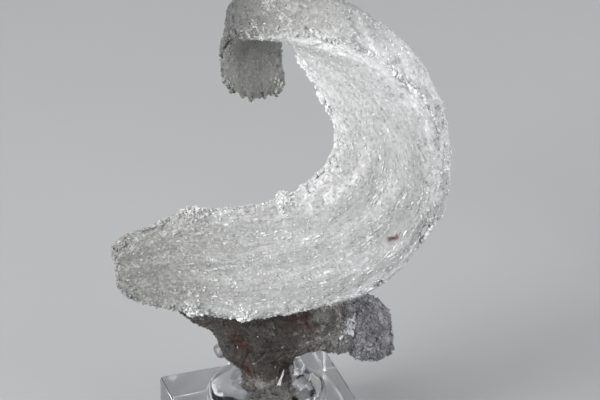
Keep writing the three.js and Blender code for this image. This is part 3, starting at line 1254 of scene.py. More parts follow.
    def smooth_sheet(self) -> tuple[Sheet, Array, Array]:
        """The horn before its fine relief.

        Formula: at each place the section's outline lies about the ribbon's middle. Furrows and
        lumps then move it out and in, by a sine of the place across and by crossing sine waves.
        Towards both ends each point also moves along by the ends' unevenness. The distance round
        is counted from the middle of the front and goes by the root of the girth, so that fibres
        fan out with the ribbon, but less than it widens.

        Returns:
            The sheet, and for each point how far across (-1 inner edge to 1 outer) and how far
            through (-1 back to 1 front) it lies.
        """
        rows, columns = self.grid
        share = self.even_shares(rows)
        angle = self.even_angles(columns)
        ribbon = self.ribbon(share)
        across, through, depth = self.section(angle)
        wide = (ribbon.half_width * ribbon.closing)[:, None] * across
        deep = (ribbon.thick * ribbon.closing)[:, None] * depth
        points = ribbon.middle[:, None] + wide[..., None] * ribbon.outward[:, None]
        points = points + deep[..., None] * ribbon.front[:, None]
        wave = np.sin(11 * across + 3 * np.sin(9 * share)[:, None] + np.where(through > 0, 0.0, 2.0))
        furrow = self.furrow * np.interp(share, *np.array(self.furrow_along).T)[:, None]
        relief = furrow * wave * np.abs(through) + self.lump * lumpiness(points, self.lump_mm) - self.inset
        away = across[:, None] * ribbon.outward[:, None] + through[:, None] * ribbon.front[:, None]
        points = points + relief[..., None] * unit(away)
        girth = np.linalg.norm(np.diff(points, axis=1, append=points[:, :1]), axis=-1).sum(axis=1)
        front_middle = np.interp(2.5 * math.pi, angle, np.arange(columns))
        from_front = (np.arange(columns) - front_middle) / columns
        round_ = np.sqrt(girth * self.usual_girth)[:, None] * from_front
        along = path_length(ribbon.middle)[:, None] + np.zeros_like(round_)
        for end, way in ((along[0, 0], -1.0), (along[-1, 0], 1.0)):
            near = clipped(1.0 - np.abs(along - end) / self.ragged_mm) ** 1.5
            move = way * near * self.broken_end(across, through, way)
            points = points + move[..., None] * ribbon.along[:, None]
        run = np.stack([along, round_, share[:, None] + np.zeros_like(round_)], -1)
        sheet = Sheet(points, run, self.tone_with_painted_shade(share, across, through))
        return sheet, np.broadcast_to(across, self.grid), np.broadcast_to(through, self.grid)

    def lines(self, sheet: Sheet, across: Array) -> Array:
        """Where white crystals have gathered, in lines along the curl.

        Formula: a bell curve of the distance across from each line's own slow wave, the highest
        of them, times slow noise along the line that breaks it up.

        Args:
            sheet: The horn.
            across: How far across each point lies.

        Returns:
            Rows by columns, from 0 to 1.
        """
        share = sheet.run[..., 2]
        found = np.zeros_like(share)
        for k, level in enumerate(self.line_levels):
            wave = 0.07 * np.sin(31.0 * share + 2.1 * k) + 0.03 * np.sin(83.0 * share + 1.3 * k)
            broken = clipped(3.5 * fractal_noise(sheet.run[..., :1] / 6.0 + 9.0 * k, 2, 71) + 0.3)
            found = np.maximum(found, broken * bell(across - level - wave, self.line_width))
        return found * clipped(12.0 * (0.62 - share))

    def swollen(self, sheet: Sheet, across: Array) -> tuple[Array, Array]:
        """Where the edges swell out or are broken away.

        Formula: each swell is a bell curve of the distance along the curl, times the fifth power
        of the place across.

        Args:
            sheet: The horn.
            across: How far across each point lies.

        Returns:
            The height of the swells, and how milky they are.
        """
        height = np.zeros_like(sheet.tone)
        milky = height.copy()
        for at, side, most, reach in self.swells:
            place = np.interp(at, sheet.run[:, 0, 2], sheet.run[:, 0, 0])
            bump = bell(sheet.run[..., 0] - place, reach) * clipped(side * across) ** 5
            height = height + most * bump
            milky = milky + clipped(most) * bump
        return height, milky

    def rough_sheet(self) -> tuple[Sheet, Array, Array]:
        """The horn with its laminae, fibres and fused grains.

        Formula: long creases and fine fibres stretched along the growth, plus tilted grain facets
        that are slight on the open face and coarse on the back, less small pits where a grain is
        missing, plus blocky steps that grow with the fifth power of the place across, plus the
        swells. White dashes are grains drawn out along the growth, gathered in lines. Each pair of
        numbers under flat is a pattern's pitch along and round the growth.

        Returns:
            The sheet, and how far across and how far through each point lies.
        """
        sheet, across, through = self.smooth_sheet()
        flat, share = sheet.run[..., :2], sheet.run[..., 2]
        back = clipped(0.5 - 2.0 * through)
        laminae = creases(flat / (17.0, 1.5), 3)
        fibres = creases(flat / (5.0, 0.75), 7)
        coarse = grain_cells(flat / (1.9, 1.5), 21)
        fine = grain_cells(flat / (1.15, 0.75), 31)
        blocks = grain_cells(flat / (2.6, 2.2), 41)
        dashes = grain_cells(flat / (3.4, 0.9), 47)
        silk = np.interp(share, *np.array(self.silk_along).T)
        pitted = clipped(0.4 + 1.2 * fractal_noise(flat / (14.0, 4.0), 2, 53))
        missing = fine.traits[..., 0] > 1.0 - 0.05 * pitted * clipped(silk)
        pits = missing * bell(fine.near, 0.4)
        broken = np.interp(share, (0.8, 0.9), (1.0, 0.5)) * np.abs(across) ** 5
        swell, milky = self.swollen(sheet, across)
        blocky = 0.2 - 1.4 * blocks.traits[..., 0] ** 2 + 0.4 * blocks.facets(0.5, 0.4)
        relief = silk * (self.laminae.height * laminae + self.fibres.height * fibres)
        relief = relief + self.pits.height * pits + broken * blocky + swell
        relief = relief + self.coarse_grains * (1.0 + back) * coarse.facets(0.5, 0.3)
        relief = relief + self.fine_grains.height * fine.facets(0.6, 0.25)
        dash = (dashes.traits[..., 1] > 0.4) * clipped(2.0 - 3.0 * dashes.near)
        white = self.lines(sheet, across) * dash
        mottle = 0.06 * fractal_noise(flat / (16.0, 8.0), 3, 61)
        mottle = mottle + 0.04 * fractal_noise(flat / (5.0, 1.2), 3, 67)
        tone = sheet.tone + mottle + silk * (self.laminae.tone * laminae + self.fibres.tone * fibres)
        tone = tone + self.white_lines * white + self.pits.tone * pits
        # painted light: the broken edges are drawn 0.09 lighter, for the glow through the thin edges
        tone = tone + self.fine_grains.tone * (fine.traits[..., 1] - 0.5) + 0.09 * broken + 0.06 * milky
        return Sheet(sheet.moved(relief).points, sheet.run, clipped(tone)), across, through

    def edge_sites(
        self,
        side: float,
        count: int,
        rng: np.random.Generator,
        reach: tuple[float, float] = (0.0, 1.0),
        lift: tuple[float, float] = (-1.6, 0.3),
        jut: float = 0.0,
    ) -> Sites:
        """Sites along one edge of the ribbon.

        Formula: random places along the edge, moved by random distances through the ribbon and out
        from it. The tone is the face's mixed with the back's, both with their painted shade, of which
        the outer edge past the fold shows more, painting shade on the fold's lip; the face's share is
        lightened, painted light for the glow of the thin edges.

        Args:
            side: 1 for the outer edge and -1 for the inner.
            count: How many.
            rng: The source of chance.
            reach: The first and the last place along the curl, as shares.
            lift: How far behind and in front of the ribbon the sites lie, in millimetres.
            jut: How far the sites may stand out beyond the edge, in millimetres.

        Returns:
            The sites, a little in from the edge and spread through its thickness.
        """
        # painted light: the edge crystals are drawn lighter, for the glow through the thin edges and against
        # the shade between the crystals
        lighter = 0.2
        choices = self.even_shares(2 * self.steps)
        choices = choices[(choices >= reach[0]) & (choices <= reach[1])]
        share = rng.choice(choices, count)
        ribbon = self.ribbon(share)
        place = ribbon.edge_point(side, 0.97)
        place = place + ribbon.front * rng.uniform(*lift, (count, 1))
        place = place + side * ribbon.outward * rng.uniform(-0.5 * jut, jut, (count, 1))
        places, face, back = np.array(self.tone_and_shade_along).T
        # painted shade: the outer edge past the fold takes more of the back's dark tone, shading the fold's
        # lip
        of_back = np.interp(side * share, (0.72, 0.84), (0.5, 0.85))
        tone = (1.0 - of_back) * np.interp(share, places, face) + of_back * np.interp(share, places, back)
        return Sites(place, side * ribbon.outward, ribbon.along, tone + lighter * (1.0 - of_back))

    def end_sites(self, share: float, count: int, rng: np.random.Generator) -> Sites:
        """Sites on the broken face at one end of the ribbon.

        Formula: random points of the end's section, drawn between its middle and its outline, and
        standing out as far as the outline does there.

        Args:
            share: 0 for the free end of the lower arm and 1 for the hanging tip.
            count: How many.
            rng: The source of chance.

        Returns:
            The sites.
        """
        ribbon = self.ribbon(np.full(count, share))
        way = 1.0 if share > 0.5 else -1.0
        angle, radius = TAU * rng.random(count), np.sqrt(rng.random(count))
        across, through, depth = self.section(angle)
        wide = radius * across * ribbon.half_width * ribbon.closing
        deep = radius * depth * ribbon.thick * ribbon.closing
        jut = self.broken_end(across, through, way)
        jut = jut.mean() + radius * (jut - jut.mean()) - self.inset
        outward = ribbon.along * way
        place = ribbon.middle + ribbon.outward * wide[:, None] + ribbon.front * deep[:, None]
        place = place + outward * jut[:, None]
        # painted shade: the hanging tip's broken face is drawn darker than the free end's
        return Sites(place, outward, ribbon.outward, np.full(count, 0.45 if share < 0.5 else 0.35))


HORN_CRUSTS = (
    # place along the curl, reach in mm, side (1 outer, -1 inner), longest crystal, how many, paler by
    (0.012, 1.8, -1, 1.0, 130, 0.1),
    (0.012, 1.8, 1, 1.0, 130, 0.1),
    (0.13, 3.4, -1, 1.0, 420, 0.05),
    (0.127, 1.7, 1, 1.0, 300, 0.12),
    (0.181, 1.8, 1, 0.9, 280, 0.16),
    (0.263, 2.4, -1, 1.0, 320, 0.08),
    (0.415, 2.0, 1, 0.9, 180, -0.02),
    (0.985, 1.8, -1, 1.0, 130, 0.06),
    (0.985, 1.8, 1, 1.0, 130, 0.06),
)


HORN_TEETH = (
    # side, how many, places along the curl, how far behind and in front, how far out, longest
    (-1.0, 70, (0.49, 0.7), (0.0, 1.8), 0.7, 1.7),
    (-1.0, 60, (0.04, 0.49), (-1.0, 0.6), 0.3, 1.8),
    (1.0, 60, (0.3, 0.42), (-2.4, 0.2), 0.2, 1.6),
    (1.0, 60, (0.42, 0.6), (-5.0, -0.5), 0.1, 1.2),
)


HORN_PATCHES = (
    # middle of a patch of white grains, its reach in millimetres, how many grains, paler by
    ((-2.3, 23.5, 128.0), 1.7, 330, 0.4),
    ((-5.5, 27.5, 126.0), 1.5, 60, 0.35),
    ((0.3, 21.0, 137.3), 2.0, 160, 0.27),
    ((3.9, 16.0, 136.0), 1.4, 70, 0.28),
    ((5.5, 13.5, 134.0), 1.6, 50, 0.22),
)


class Horn:
    """Builds and dresses the horn."""

    def __init__(self, curl: HornCurl) -> None:
        """Works out the horn's surface.

        Args:
            curl: The horn's sizes.
        """
        self.curl = curl
        self.sheet, self.across, self.through = curl.rough_sheet()

    def skin(self) -> Object:
        """The horn's body."""
        speck = Stain((33.3, -10.3, 81.0), (35.3, -10.2, 81.5), 0.65)
        return self.sheet.faces().to_object("horn_body", smooth=True, stains=(speck,))

    def grains(self) -> list[Object]:
        """The sugar of fused grains on the open face and on the back, and the white plates on the face.

        Returns:
            The three pieces.
        """
        rng = np.random.default_rng(5)
        face = (self.through > -0.1).astype(float)
        fine = Growth((0.3, 0.8), (0, 15), 0.2, roll=0.6, bury=0.1, bright=0.02, clear=0.03)
        coarse = Growth(
            (0.35, 0.9), (0, 30), 0.3, thickness=0.55, roll=0.8, bury=0.15, bright=0.06, clear=0.03
        )
        plates = Growth((0.6, 1.9), (0, 8), 0.1, width=0.36, thickness=0.2, roll=0.4, bury=0.06, bright=0.07)
        made = []
        for name, count, favour, kind in (
            ("horn_face_grains", 8000, face, fine),
            ("horn_back_grains", 11000, 1 - face, coarse),
            ("horn_plates", 650, face * (0.04 + self.curl.lines(self.sheet, self.across)), plates),
        ):
            sites = sites_on(self.sheet, count, favour, rng)
            made.append(kind.bed(sites, rng).to_object(name))
        return made

    def clump(self, at: float, reach: float, side: float, count: int, rng: np.random.Generator) -> Sites:
        """Sites of one clump of crystals on the rim of the open face.

        Formula: the favour of a place falls off as a bell curve of its distance along the curl
        from the clump's middle, and of how far in from the edge it lies.

        Args:
            at: The clump's place along the curl.
            reach: Half its length, in millimetres.
            side: 1 for the outer edge and -1 for the inner.
            count: How many sites.
            rng: The source of chance.

        Returns:
            The sites.
        """
        run = self.sheet.run
        place = np.interp(at, run[:, 0, 2], run[:, 0, 0])
        favour = bell(run[..., 0] - place, reach) * bell(side * self.across - 0.96, 0.13)
        return sites_on(self.sheet, count, favour * (self.through > -0.75), rng)

    def crust(self) -> Object:
        """The crystals that stand on the edges and on both ends, and the white patches by the fold.

        Returns:
            All of them as one piece.
        """
        rng = np.random.default_rng(17)
        small = Growth((0.4, 1.3), (0, 70), 0.4, width=0.85, thickness=0.65, sink=0.55, bury=0.1, bright=0.1)
        fine = Growth((0.4, 1.1), (20, 90), 0.4, thickness=0.65, sink=0.6)
        beds = [small.bed(self.curl.edge_sites(side, 1700, rng), rng) for side in (-1.0, 1.0)]
        beds += [fine.bed(self.curl.end_sites(share, 500, rng), rng) for share in (0.0, 1.0)]
        shortest = 0.4  # share of the longest
        for side, count, reach, lift, jut, longest in HORN_TEETH:
            sizes = (shortest * longest, longest)
            teeth = Growth(sizes, (0, 30), 0.2, width=0.75, thickness=0.65, roll=0.5, bright=0.03)
            beds.append(teeth.bed(self.curl.edge_sites(side, count, rng, reach, lift, jut), rng))
        for at, reach, side, longest, count, paler in HORN_CRUSTS:
            kind = Growth((shortest * longest, longest), (20, 90), 0.5, thickness=0.7, bright=0.1)
            beds.append(kind.bed(self.clump(at, reach, side, count, rng).paler(paler), rng))
        patch = Growth((0.25, 0.65), (0, 30), 0.3, roll=0.8, bury=0.06)
        for middle, reach, count, paler in HORN_PATCHES:
            away = np.linalg.norm(self.sheet.points - np.array(middle), axis=-1)
            sites = sites_on(self.sheet, count, bell(away, reach), rng)
            beds.append(patch.bed(sites.paler(paler), rng))
        return Faces.joined(beds).to_object("horn_edge_crystals")


# ---- The stem and the side crystal ----


@dataclass
class MatrixStem:
    """The stained gypsum that the crystals grew from."""

    rows: tuple[tuple[float, ...], ...] = (
        # height over the block, middle x, middle y, half width, half depth
        (0, -0.5, 0, 7, 6.4),
        (6, -0.7, 0, 6.9, 6.2),
        (12, -1.2, 0, 6.4, 6.2),
        (15.5, -1.8, 0, 7.8, 6.8),
        (19, -2.2, 0, 10.4, 7.4),
        (21.5, 0.6, -0.3, 14, 8),
        (24, 2.2, -0.5, 16.3, 8.6),
        (27, 2.4, -0.8, 18, 8.9),
        (30, 1.1, -1, 21.2, 9.2),
        (33.4, -1.8, -0.8, 23.2, 9.1),
        (36, -2.2, -0.5, 22.2, 9),
        (42, -4.2, 0.5, 17.2, 7.5),
        (47, -4, 1.5, 9, 4.5),
    )
    knobs: tuple[tuple[Point, Point], ...] = (
        # middle over the block, half sizes
        ((19, 1, 27), (7.2, 5.5, 8.4)),
        ((-13.1, -1.6, 20.4), (2.4, 2.4, 2.3)),
    )
    veins: tuple[Stain, ...] = (
        Stain((-10.0, -9.0, 50.0), (-7.5, -8.0, 44.0), 2.0, 0.6),
        Stain((-8.5, -8.0, 45.5), (-5.0, -6.5, 33.0), 1.3, 0.85),
        Stain((-3.0, -8.0, 46.0), (-1.0, -7.0, 36.0), 0.9, 0.5),
        Stain((1.0, -7.5, 42.0), (2.5, -7.0, 33.0), 0.9, 0.7),
        Stain((-1.5, -6.5, 37.0), (0.0, -6.5, 32.0), 1.0, 0.6),
        Stain((3.0, -9.5, 56.0), (10.0, -9.0, 53.5), 2.0, 0.8),
        Stain((9.0, -8.5, 55.5), (11.0, -8.0, 55.0), 1.2, 0.7),
        Stain((5.0, -8.5, 51.0), (13.0, -7.0, 50.5), 1.3, 0.5),
        Stain((14.0, -7.0, 49.5), (16.0, -6.5, 48.5), 0.9, 0.7),
    )
    shades: tuple[Stain, ...] = (
        # where the stem is lighter, or darker where the strength is below 0; the two dark ones high up, under
        # the horn's arm, are painted shade
        Stain((-21.0, -6.0, 55.0), (-13.0, -8.0, 46.0), 3.0, 0.14),
        Stain((-5.0, -6.5, 32.0), (5.0, -6.5, 30.0), 3.0, 0.3),
        Stain((6.0, -6.5, 40.0), (10.0, -7.0, 44.5), 2.6, 0.3),
        Stain((-2.0, -8.0, 44.0), (0.0, -7.0, 37.0), 1.1, 0.2),
        Stain((1.0, -9.5, 56.0), (6.5, -9.0, 54.5), 1.6, -0.25),
        Stain((13.5, -7.5, 51.5), (16.5, -6.5, 50.0), 1.4, -0.3),
        Stain((-9.0, -8.0, 40.0), (-6.5, -7.0, 35.0), 1.4, -0.2),
    )
    rib: float = 0.6
    lump: float = 0.9
    gap: float = 0.3  # between the block and the stem's foot
    bare_foot: float = 6.0  # height of the foot, which has no grains
    tone: float = 0.38
    grid: tuple[int, int] = (250, 260)

    def body(self) -> Sheet:
        """The stem's flaring body.

        Formula: each ring is an ellipse whose middle and half sizes run evenly between the rows;
        five shallow ribs and crossing sine waves move it in and out. Fine ribs that run up it,
        tilted grains and crevices follow.

        Returns:
            The sheet, darker in its crevices, which is painted shade, lighter at its foot, and lighter
            towards the branch, partly paler stone and partly painted light against the shade under the horn.
        """
        rows, columns = self.grid
        table = np.array(self.rows, float)
        height = np.linspace(0.0, table[-1, 0], rows)
        x, y, half_width, half_depth = (np.interp(height, table[:, 0], table[:, k]) for k in range(1, 5))
        angle = TAU * np.arange(columns) / columns
        away = np.stack([np.cos(angle), np.sin(angle), np.zeros(columns)], -1)
        middle = np.stack([x, y, height + block_top() + self.gap], -1)
        points = middle[:, None] + away * np.stack([half_width, half_depth, half_depth], -1)[:, None]
        rib = self.rib * np.sin(5 * angle + 0.12 * height[:, None])
        points = points + (rib + self.lump * lumpiness(points, 8.0))[..., None] * away
        arc = angle[None] * (0.5 * (half_width + half_depth))[:, None]
        run = np.stack([height[:, None] + np.zeros_like(arc), arc, np.zeros_like(arc)], -1)
        sheet = Sheet(points, run, np.full(self.grid, self.tone))
        ring = np.broadcast_to(3.2 * away, points.shape).copy()
        ring[..., 2] = (height / 9.0)[:, None]
        ribs = creases(ring * (2.2, 2.2, 0.8), 5)
        crevices = creases(points / 4.6, 9)
        grains = grain_cells(points / 1.6, 13)
        relief = 0.35 * ribs - 0.6 * clipped(crevices - 0.6) + 0.08 * grains.facets(0.5, 0.3) - 0.15
        stain = 0.12 * fractal_noise(points / 9.0, 3, 77)
        # partly paler stone and partly painted light: lighter towards the branch, against the shade under the
        # horn
        to_branch = 0.45 * clipped((points[..., 0] - 6.0) / 8.0)
        foot = 0.45 * clipped(1.5 - height / 11.0)[:, None]
        tone = self.tone + stain + to_branch + foot + 0.06 * ribs + 0.08 * (grains.traits[..., 0] - 0.5)
        # painted shade: darker in the crevices, and the shades add painted shade under the horn's arm
        tone = tone - 0.3 * clipped(crevices - 0.5) + sum(area.at(points) for area in self.shades)
        return Sheet(sheet.moved(relief).points, run, clipped(tone))

    def knob(self, centre: Point, radii: Point, seed: int, tone: float) -> Sheet:
        """One lump on the stem: a ball drawn out to three half sizes, with tilted grains on it."""
        x, y, height = centre
        return lumpy_ball((x, y, height + block_top()), radii, 0.1, (90, 120), seed, tone)

    def branch(self) -> Sheet:
        """The branch that carries the side crystal.

        Returns:
            The sheet, evenly paler towards the side crystal: partly paler stone and partly painted light
            against the shade under the horn.
        """
        branch = self.knob(*self.knobs[0], 40, 0.72)
        # partly painted light against the shade under the horn
        branch.tone = clipped(branch.tone + 0.03 * (branch.points[..., 0] - 12.0))
        return branch

    def pieces(self, branch: Sheet) -> tuple[Object, Object, Object]:
        """The stem's body with its branch, the grains on them, and the clear knob.

        Args:
            branch: The branch.

        Returns:
            The three pieces.
        """
        rng = np.random.default_rng(23)
        body = self.body()
        skin = Faces.joined([sheet.faces() for sheet in (body, branch)])
        kind = Growth((0.3, 1.0), (0, 40), 0.35, roll=1.5, bury=0.1, bright=0.07)
        x, y, _ = np.moveaxis(body.points, -1, 0)
        favour = (body.run[..., 0] > self.bare_foot) * (0.5 + (x > 9.0) + 0.3 * (y > 0.0))
        sites = [sites_on(body, 4200, favour, rng), sites_on(branch, 1600, np.ones_like(branch.tone), rng)]
        bed = kind.bed(Sites.joined(sites), rng)
        knob = self.knob(*self.knobs[1], 41, 0.75)
        return (
            skin.to_object("stem_body", smooth=True, stains=self.veins),
            bed.to_object("stem_grains", stains=self.veins),
            knob.faces().to_object("clear_knob", smooth=True),
        )


def lumpy_ball(
    centre: Point,
    radii: Point,
    lump: float,
    grid: tuple[int, int],
    seed: int,
    tone: float,
    power: float = 1.0,
    lean: float = 0.0,
) -> Sheet:
    """A ball drawn out to three half sizes, made lumpy and rough.

    Formula: the unit sphere's points by angle down from the pole and angle round, with every
    sine and cosine raised to a power that squares the ball off below 1, times one plus the lump
    times crossing sine waves, times the half sizes, with the top leaning to the left and the foot
    to the right. Tilted grains then move it in and out.

    Args:
        centre: Its middle.
        radii: Its half sizes.
        lump: Size of the lumps, as a share of the radius.
        grid: Rows and columns.
        seed: Which packing of grains.
        tone: Its mean tone.
        power: 1 for a round form, less for a squarer one.
        lean: How far the top leans to the left, in millimetres.

    Returns:
        The sheet, from the upper pole down.
    """
    rows, columns = grid
    pole = 0.04  # half the angle that is left open at each pole
    down = np.linspace(pole, math.pi - pole, rows)[:, None]
    angle = (TAU * np.arange(columns) / columns)[None]
    ring, rise = signed_power(np.sin(down), power), signed_power(np.cos(down), power)
    x, y = ring * signed_power(np.cos(angle), power), ring * signed_power(np.sin(angle), power)
    sphere = np.stack([x, y, rise + 0 * angle], -1)
    sphere = sphere * (1.0 + lump * lumpiness(sphere, 1.1))[..., None]
    points = sphere * np.array(radii) + np.array(centre) - sphere[..., 2:] * np.array([lean, 0.0, 0.0])
    sheet = Sheet(points, points.copy(), np.full(grid, tone))
    grains = grain_cells(points / 1.3, seed)
    rough = sheet.moved(0.3 * grains.facets(0.5, 0.3))
    rough.tone = clipped(tone + 0.2 * (grains.traits[..., 0] - 0.5))
    return rough


@dataclass
class SideCrystal:
    """The smaller cluster at the stem's right: a lumpy core with stout crystals."""

    centre: Point = (27.6, 3.4, 43.4)
    radii: Point = (6.9, 6.6, 9.4)
    tone: float = 0.44
    lighter: tuple[float, float] = (0.16, 0.1)  # painted light: how much lighter the core is drawn towards the left and the top, against the shade that the horn casts
    milky: Point = (22.6, -3.4, 48.4)  # where white crystals run onto the branch, drawn whiter as a painted highlight there too
    white_and_highlight_mm: float = 1.8
    white_and_highlight_tone: float = 0.86

    def pieces(self, branch: Sheet) -> tuple[Object, Object]:
        """The core, and its crystals.

        Args:
            branch: The stem's branch, which the white crystals run onto.

        Returns:
            The smooth core, and the blocks, stout crystals, small grains and white crystals on it, which also
            paint a highlight on the branch.
        """
        rng = np.random.default_rng(31)
        core = lumpy_ball(self.centre, self.radii, 0.07, (200, 240), 51, self.tone, power=0.9, lean=0.9)
        outward = (core.points - np.array(self.centre)) / np.array(self.radii)
        free_side = clipped(0.3 + outward[..., 0])
        # painted light: the core is drawn lighter towards the left and the top, against the horn's shade
        core.tone = core.tone + self.lighter[0] * clipped(-outward[..., 0])
        core.tone = core.tone + self.lighter[1] * clipped(outward[..., 2])
        block = Growth((1.4, 3.0), (40, 90), 0.3, thickness=0.7, sink=0.7, bright=0.04)
        stout = Growth((1.1, 2.6), (55, 90), 0.3, Habit.BLADE, width=0.7, sink=0.6, bright=0.12)
        small = Growth((0.4, 1.3), (0, 60), 0.6, thickness=0.6, roll=2.0, bury=0.1, bright=0.1, clear=0.03)
        # partly painted highlight: the white crystals where the branch meets the core
        near = np.linalg.norm(branch.points - np.array(self.milky), axis=-1)
        white = sites_on(branch, 300, bell(near, self.white_and_highlight_mm), rng).toned(self.white_and_highlight_tone)
        merging = clipped((branch.points[..., 0] - 14.0) / 8.0)
        spread = sites_on(branch, 1100, merging**1.5, rng).toned(self.tone - 0.08)
        beds = [
            block.bed(sites_on(core, 70, free_side**2, rng), rng),
            stout.bed(sites_on(core, 110, free_side**3, rng), rng),
            small.bed(sites_on(core, 3600, 0.4 + free_side, rng), rng),
            small.bed(white, rng),
            small.bed(spread, rng),
        ]
        return core.faces().to_object("side_core"), Faces.joined(beds).to_object("side_blades")


# ---- The clear mount ----


@dataclass
class MountingPutty:
    """The clear putty pressed round the stem's foot and drawn up its right side."""

    middle: float = -1.0
    contact_radius: float = 14.6
    widest_radius: float = 17.0
    crest_radius: float = 10.6
    crest_height: float = 9.4
    collar_radius: float = 9.2
    collar_height: float = 17.6
    hollow: float = 0.3  # radius that the outlines leave open at the middle
    sink: float = 0.05  # how far it is pressed onto the block
    grid: tuple[int, int] = (150, 180)

    def outlines(self) -> tuple[Array, Array]:
        """The outlines of the putty, from the middle of its foot to the middle of its top.

        Returns:
            Radius, height and 0 for each point, where it only rings the stem and where it is
            drawn up the stem.
        """
        widest, crest, top = self.widest_radius, self.crest_radius, self.crest_height
        collar, height = self.collar_radius, self.collar_height
        foot = [(self.hollow, 0), (self.contact_radius, 0), (widest - 0.7, 1.5)]
        foot += [(widest, 3.4), (widest, 5.4), (widest - 1, 7.4)]
        ring = [(crest + 3.2, top - 0.6), (crest + 1, top), (crest - 1, top)]
        ring += [(8.2, top - 0.5), (6.5, top - 0.6), (self.hollow, top - 0.6)]
        drawn = [(crest + 3.3, top), (crest + 2, top + 1.2), (collar + 1.9, 12.6)]
        drawn += [(collar + 0.6, 14.8), (collar - 2.4, height), (self.hollow, height)]
        return np.array([(*p, 0.0) for p in foot + ring]), np.array([(*p, 0.0) for p in foot + drawn])

    def piece(self) -> Object:
        """The putty as one smooth closed surface.

        Formula: the smooth curves of both outlines, turned about the upright axis and mixed by the
        cosine of half the angle from the right side, raised to 5. The radius and the height swell
        by a few slow waves of the angle, as pressed putty does.

        Returns:
            The object.
        """
        rows, columns = self.grid
        plain, drawn = (smooth_path(outline, np.linspace(0.0, 1.0, rows)) for outline in self.outlines())
        angle = (TAU * np.arange(columns) / columns)[None]
        share = np.abs(np.cos(angle / 2.0)) ** 5
        radius, height = (plain[:, k : k + 1] * (1 - share) + drawn[:, k : k + 1] * share for k in (0, 1))
        lobes = 0.02 * np.sin(2 * angle + 0.6) + 0.018 * np.sin(3 * angle + 2.0) + 0.01 * np.sin(7 * angle)
        wide = radius * (1.0 + lobes * clipped(height / 6.0) - 0.012)
        x, y = self.middle + wide * np.cos(angle), wide * np.sin(angle)
        z = block_top() - self.sink + (height + 0.35 * height / self.crest_height) * (1.0 + 1.2 * lobes)
        points = np.stack([x, y, z], -1)
        sheet = Sheet(points, points.copy(), np.full(self.grid, 0.5))
        return sheet.faces().to_object("putty_dome", smooth=True)


@dataclass
class AcrylicBlock:
    """The clear block: sawn, polished, with its edges eased."""

    ease: float = 0.8

    def piece(self) -> Object:
        """The block, as the frame's box with rounded edges.

        Returns:
            The object.
        """
        low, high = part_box("acrylic_base")
        corners = [(x, y, z) for x in (low.x, high.x) for y in (low.y, high.y) for z in (low.z, high.z)]
        sides = [(0, 1, 3, 2), (4, 6, 7, 5), (0, 4, 5, 1), (2, 3, 7, 6), (0, 2, 6, 4), (1, 5, 7, 3)]
        piece = plain_piece("clear_block", corners, sides)
        rounding = piece.modifiers.new("eased edges", "BEVEL")
        rounding.width = self.ease * MM
        rounding.segments = 4
        rounding.harden_normals = True
        piece.data.polygons.foreach_set("use_smooth", [True] * len(sides))
        return piece


# ---- The studio ----


def way_to(azimuth_deg: float, elevation_deg: float) -> Vector:
    """The way from the specimen to a place round it.

    Args:
        azimuth_deg: The angle round it from the front, positive to the right.
        elevation_deg: The angle above the floor.

    Returns:
        A unit vector.
    """
    azimuth, elevation = math.radians(azimuth_deg), math.radians(elevation_deg)
    level = Vector((math.sin(azimuth), -math.cos(azimuth), 0.0))
    return level * math.cos(elevation) + Vector((0.0, 0.0, math.sin(elevation)))


def aim(piece: Object, target: Vector, way: Vector, distance: float) -> None:
    """Puts a light or a camera some way off its target and turns it to face the target.

    Args:
        piece: The light or the camera.
        target: The point that it faces.
        way: The way from the target to it.
        distance: How far off it is.
    """
    piece.location = target + way * distance
    piece.rotation_mode = "QUATERNION"
    piece.rotation_quaternion = way.to_track_quat("Z", "Y")


@dataclass(frozen=True)
class SoftBox:
    """One soft light, aimed at the middle of the specimen."""

    name: str
    azimuth_deg: float
    elevation_deg: float
    distance: float
    size: float
    watts: float
    colour: Colour = (1.0, 1.0, 1.0)

    def add(self, target: Vector) -> None:
        """Adds the light.

        Args:
            target: The point that it faces.
        """
        data = bpy.data.lights.new(self.name, "AREA")
        data.shape = "SQUARE"
        data.size = self.size
        data.energy = self.watts
        data.color = self.colour
        way = way_to(self.azimuth_deg, self.elevation_deg)
        aim(linked(self.name, data), target, way, self.distance)


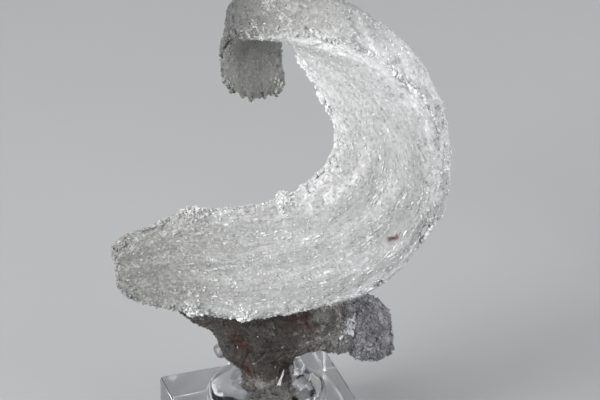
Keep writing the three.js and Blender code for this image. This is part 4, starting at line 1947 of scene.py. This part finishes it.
@dataclass(frozen=True)
class Studio:
    """The floor, the lights, the air and the camera."""

    azimuth_deg: float = -18.65
    elevation_deg: float = 29.84
    distance: float = 0.82729
    aim_height: float = 0.08744
    aim_right: float = 0.00886
    lens_mm: float = 180.0
    lights: tuple[SoftBox, ...] = (
        SoftBox("key", -72.0, 30.0, 0.75, 0.4, 7.0),
        SoftBox("fill", 42.0, 24.0, 0.9, 0.6, 3.3),
        SoftBox("top", 150.0, 62.0, 0.8, 0.4, 0.9),
        SoftBox("rim", 112.0, 14.0, 0.8, 0.45, 1.5),
        SoftBox("back", 176.0, 30.0, 0.9, 0.5, 1.1),
    )
    air: float = 0.29

    def floor(self) -> None:
        """A wide flat floor just under the block."""
        half, low = 3.0, -0.05 * MM
        corners = [(-half, -half, low), (half, -half, low), (half, half, low), (-half, half, low)]
        floor = plain_piece("floor", corners, [(0, 1, 2, 3)])
        floor.data.materials.append(FloorFinish().build())

    def world(self) -> None:
        """An even pale light from all round."""
        world = bpy.data.worlds.new("Studio air")
        world.use_nodes = True
        wiring = Wiring(world.node_tree)
        air = wiring.node("ShaderNodeBackground", {"Color": (0.93, 0.95, 1.0, 1.0), "Strength": self.air})
        output = wiring.node("ShaderNodeOutputWorld")
        wiring.join(air.outputs[0], output.inputs["Surface"])
        bpy.context.scene.world = world

    def camera(self) -> None:
        """A long lens that looks down on the curl's open face."""
        data = bpy.data.cameras.new("camera")
        data.lens = self.lens_mm
        data.sensor_width = 36.0
        data.clip_start = 0.05
        data.clip_end = 20.0
        camera = linked("camera", data)
        target = Vector((0.0, 0.0, self.aim_height)) + way_to(self.azimuth_deg + 90.0, 0.0) * self.aim_right
        aim(camera, target, way_to(self.azimuth_deg, self.elevation_deg), self.distance)
        bpy.context.scene.camera = camera

    def build(self) -> None:
        """Sets the whole studio up."""
        self.floor()
        self.world()
        target = Vector((0.0, 0.0, self.aim_height))
        for light in self.lights:
            light.add(target)
        self.camera()
        bpy.context.scene.view_settings.view_transform = "Standard"


# ---- The object ----


def dress(pieces: list[Object], node: str, material: Material) -> None:
    """Finishes the pieces that stand for one node.

    Args:
        pieces: The node's pieces.
        node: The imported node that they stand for.
        material: Their finish.
    """
    for piece in pieces:
        piece.data.materials.clear()
        piece.data.materials.append(material)
        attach(piece, "root")
        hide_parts(node)
        log.info("%s: %d faces for %s", piece.name, len(piece.data.polygons), node)


def main() -> None:
    """Builds every sub-assembly, dresses it and sets up the studio."""
    logging.basicConfig(level=logging.INFO, format="%(name)s: %(message)s")
    Studio().build()
    groups = SharedGroups()
    horn = Horn(HornCurl())
    dress([horn.skin()], "horn_crystal", SELENITE.build(groups))
    dress([*horn.grains(), horn.crust()], "horn_crystal", SELENITE_SUGAR.build(groups))
    stem = MatrixStem()
    branch = stem.branch()
    core, blades = SideCrystal().pieces(branch)
    dress([core], "side_crystal", SIDE_SELENITE.build(groups))
    dress([blades], "side_crystal", SIDE_SELENITE.sugar("Side sugar").build(groups))
    body, grains, knob = stem.pieces(branch)
    dress([body], "matrix_stem", STAINED_GYPSUM.build(groups))
    dress([grains], "matrix_stem", STAINED_GYPSUM.sugar("Stained sugar").build(groups))
    dress([knob], "matrix_stem", GLASSY_GYPSUM.build(groups))
    dress([MountingPutty().piece()], "mounting_putty", CLEAR_PUTTY.build())
    dress([AcrylicBlock().piece()], "acrylic_base", CLEAR_ACRYLIC.build())


if __name__ == "__main__":
    main()
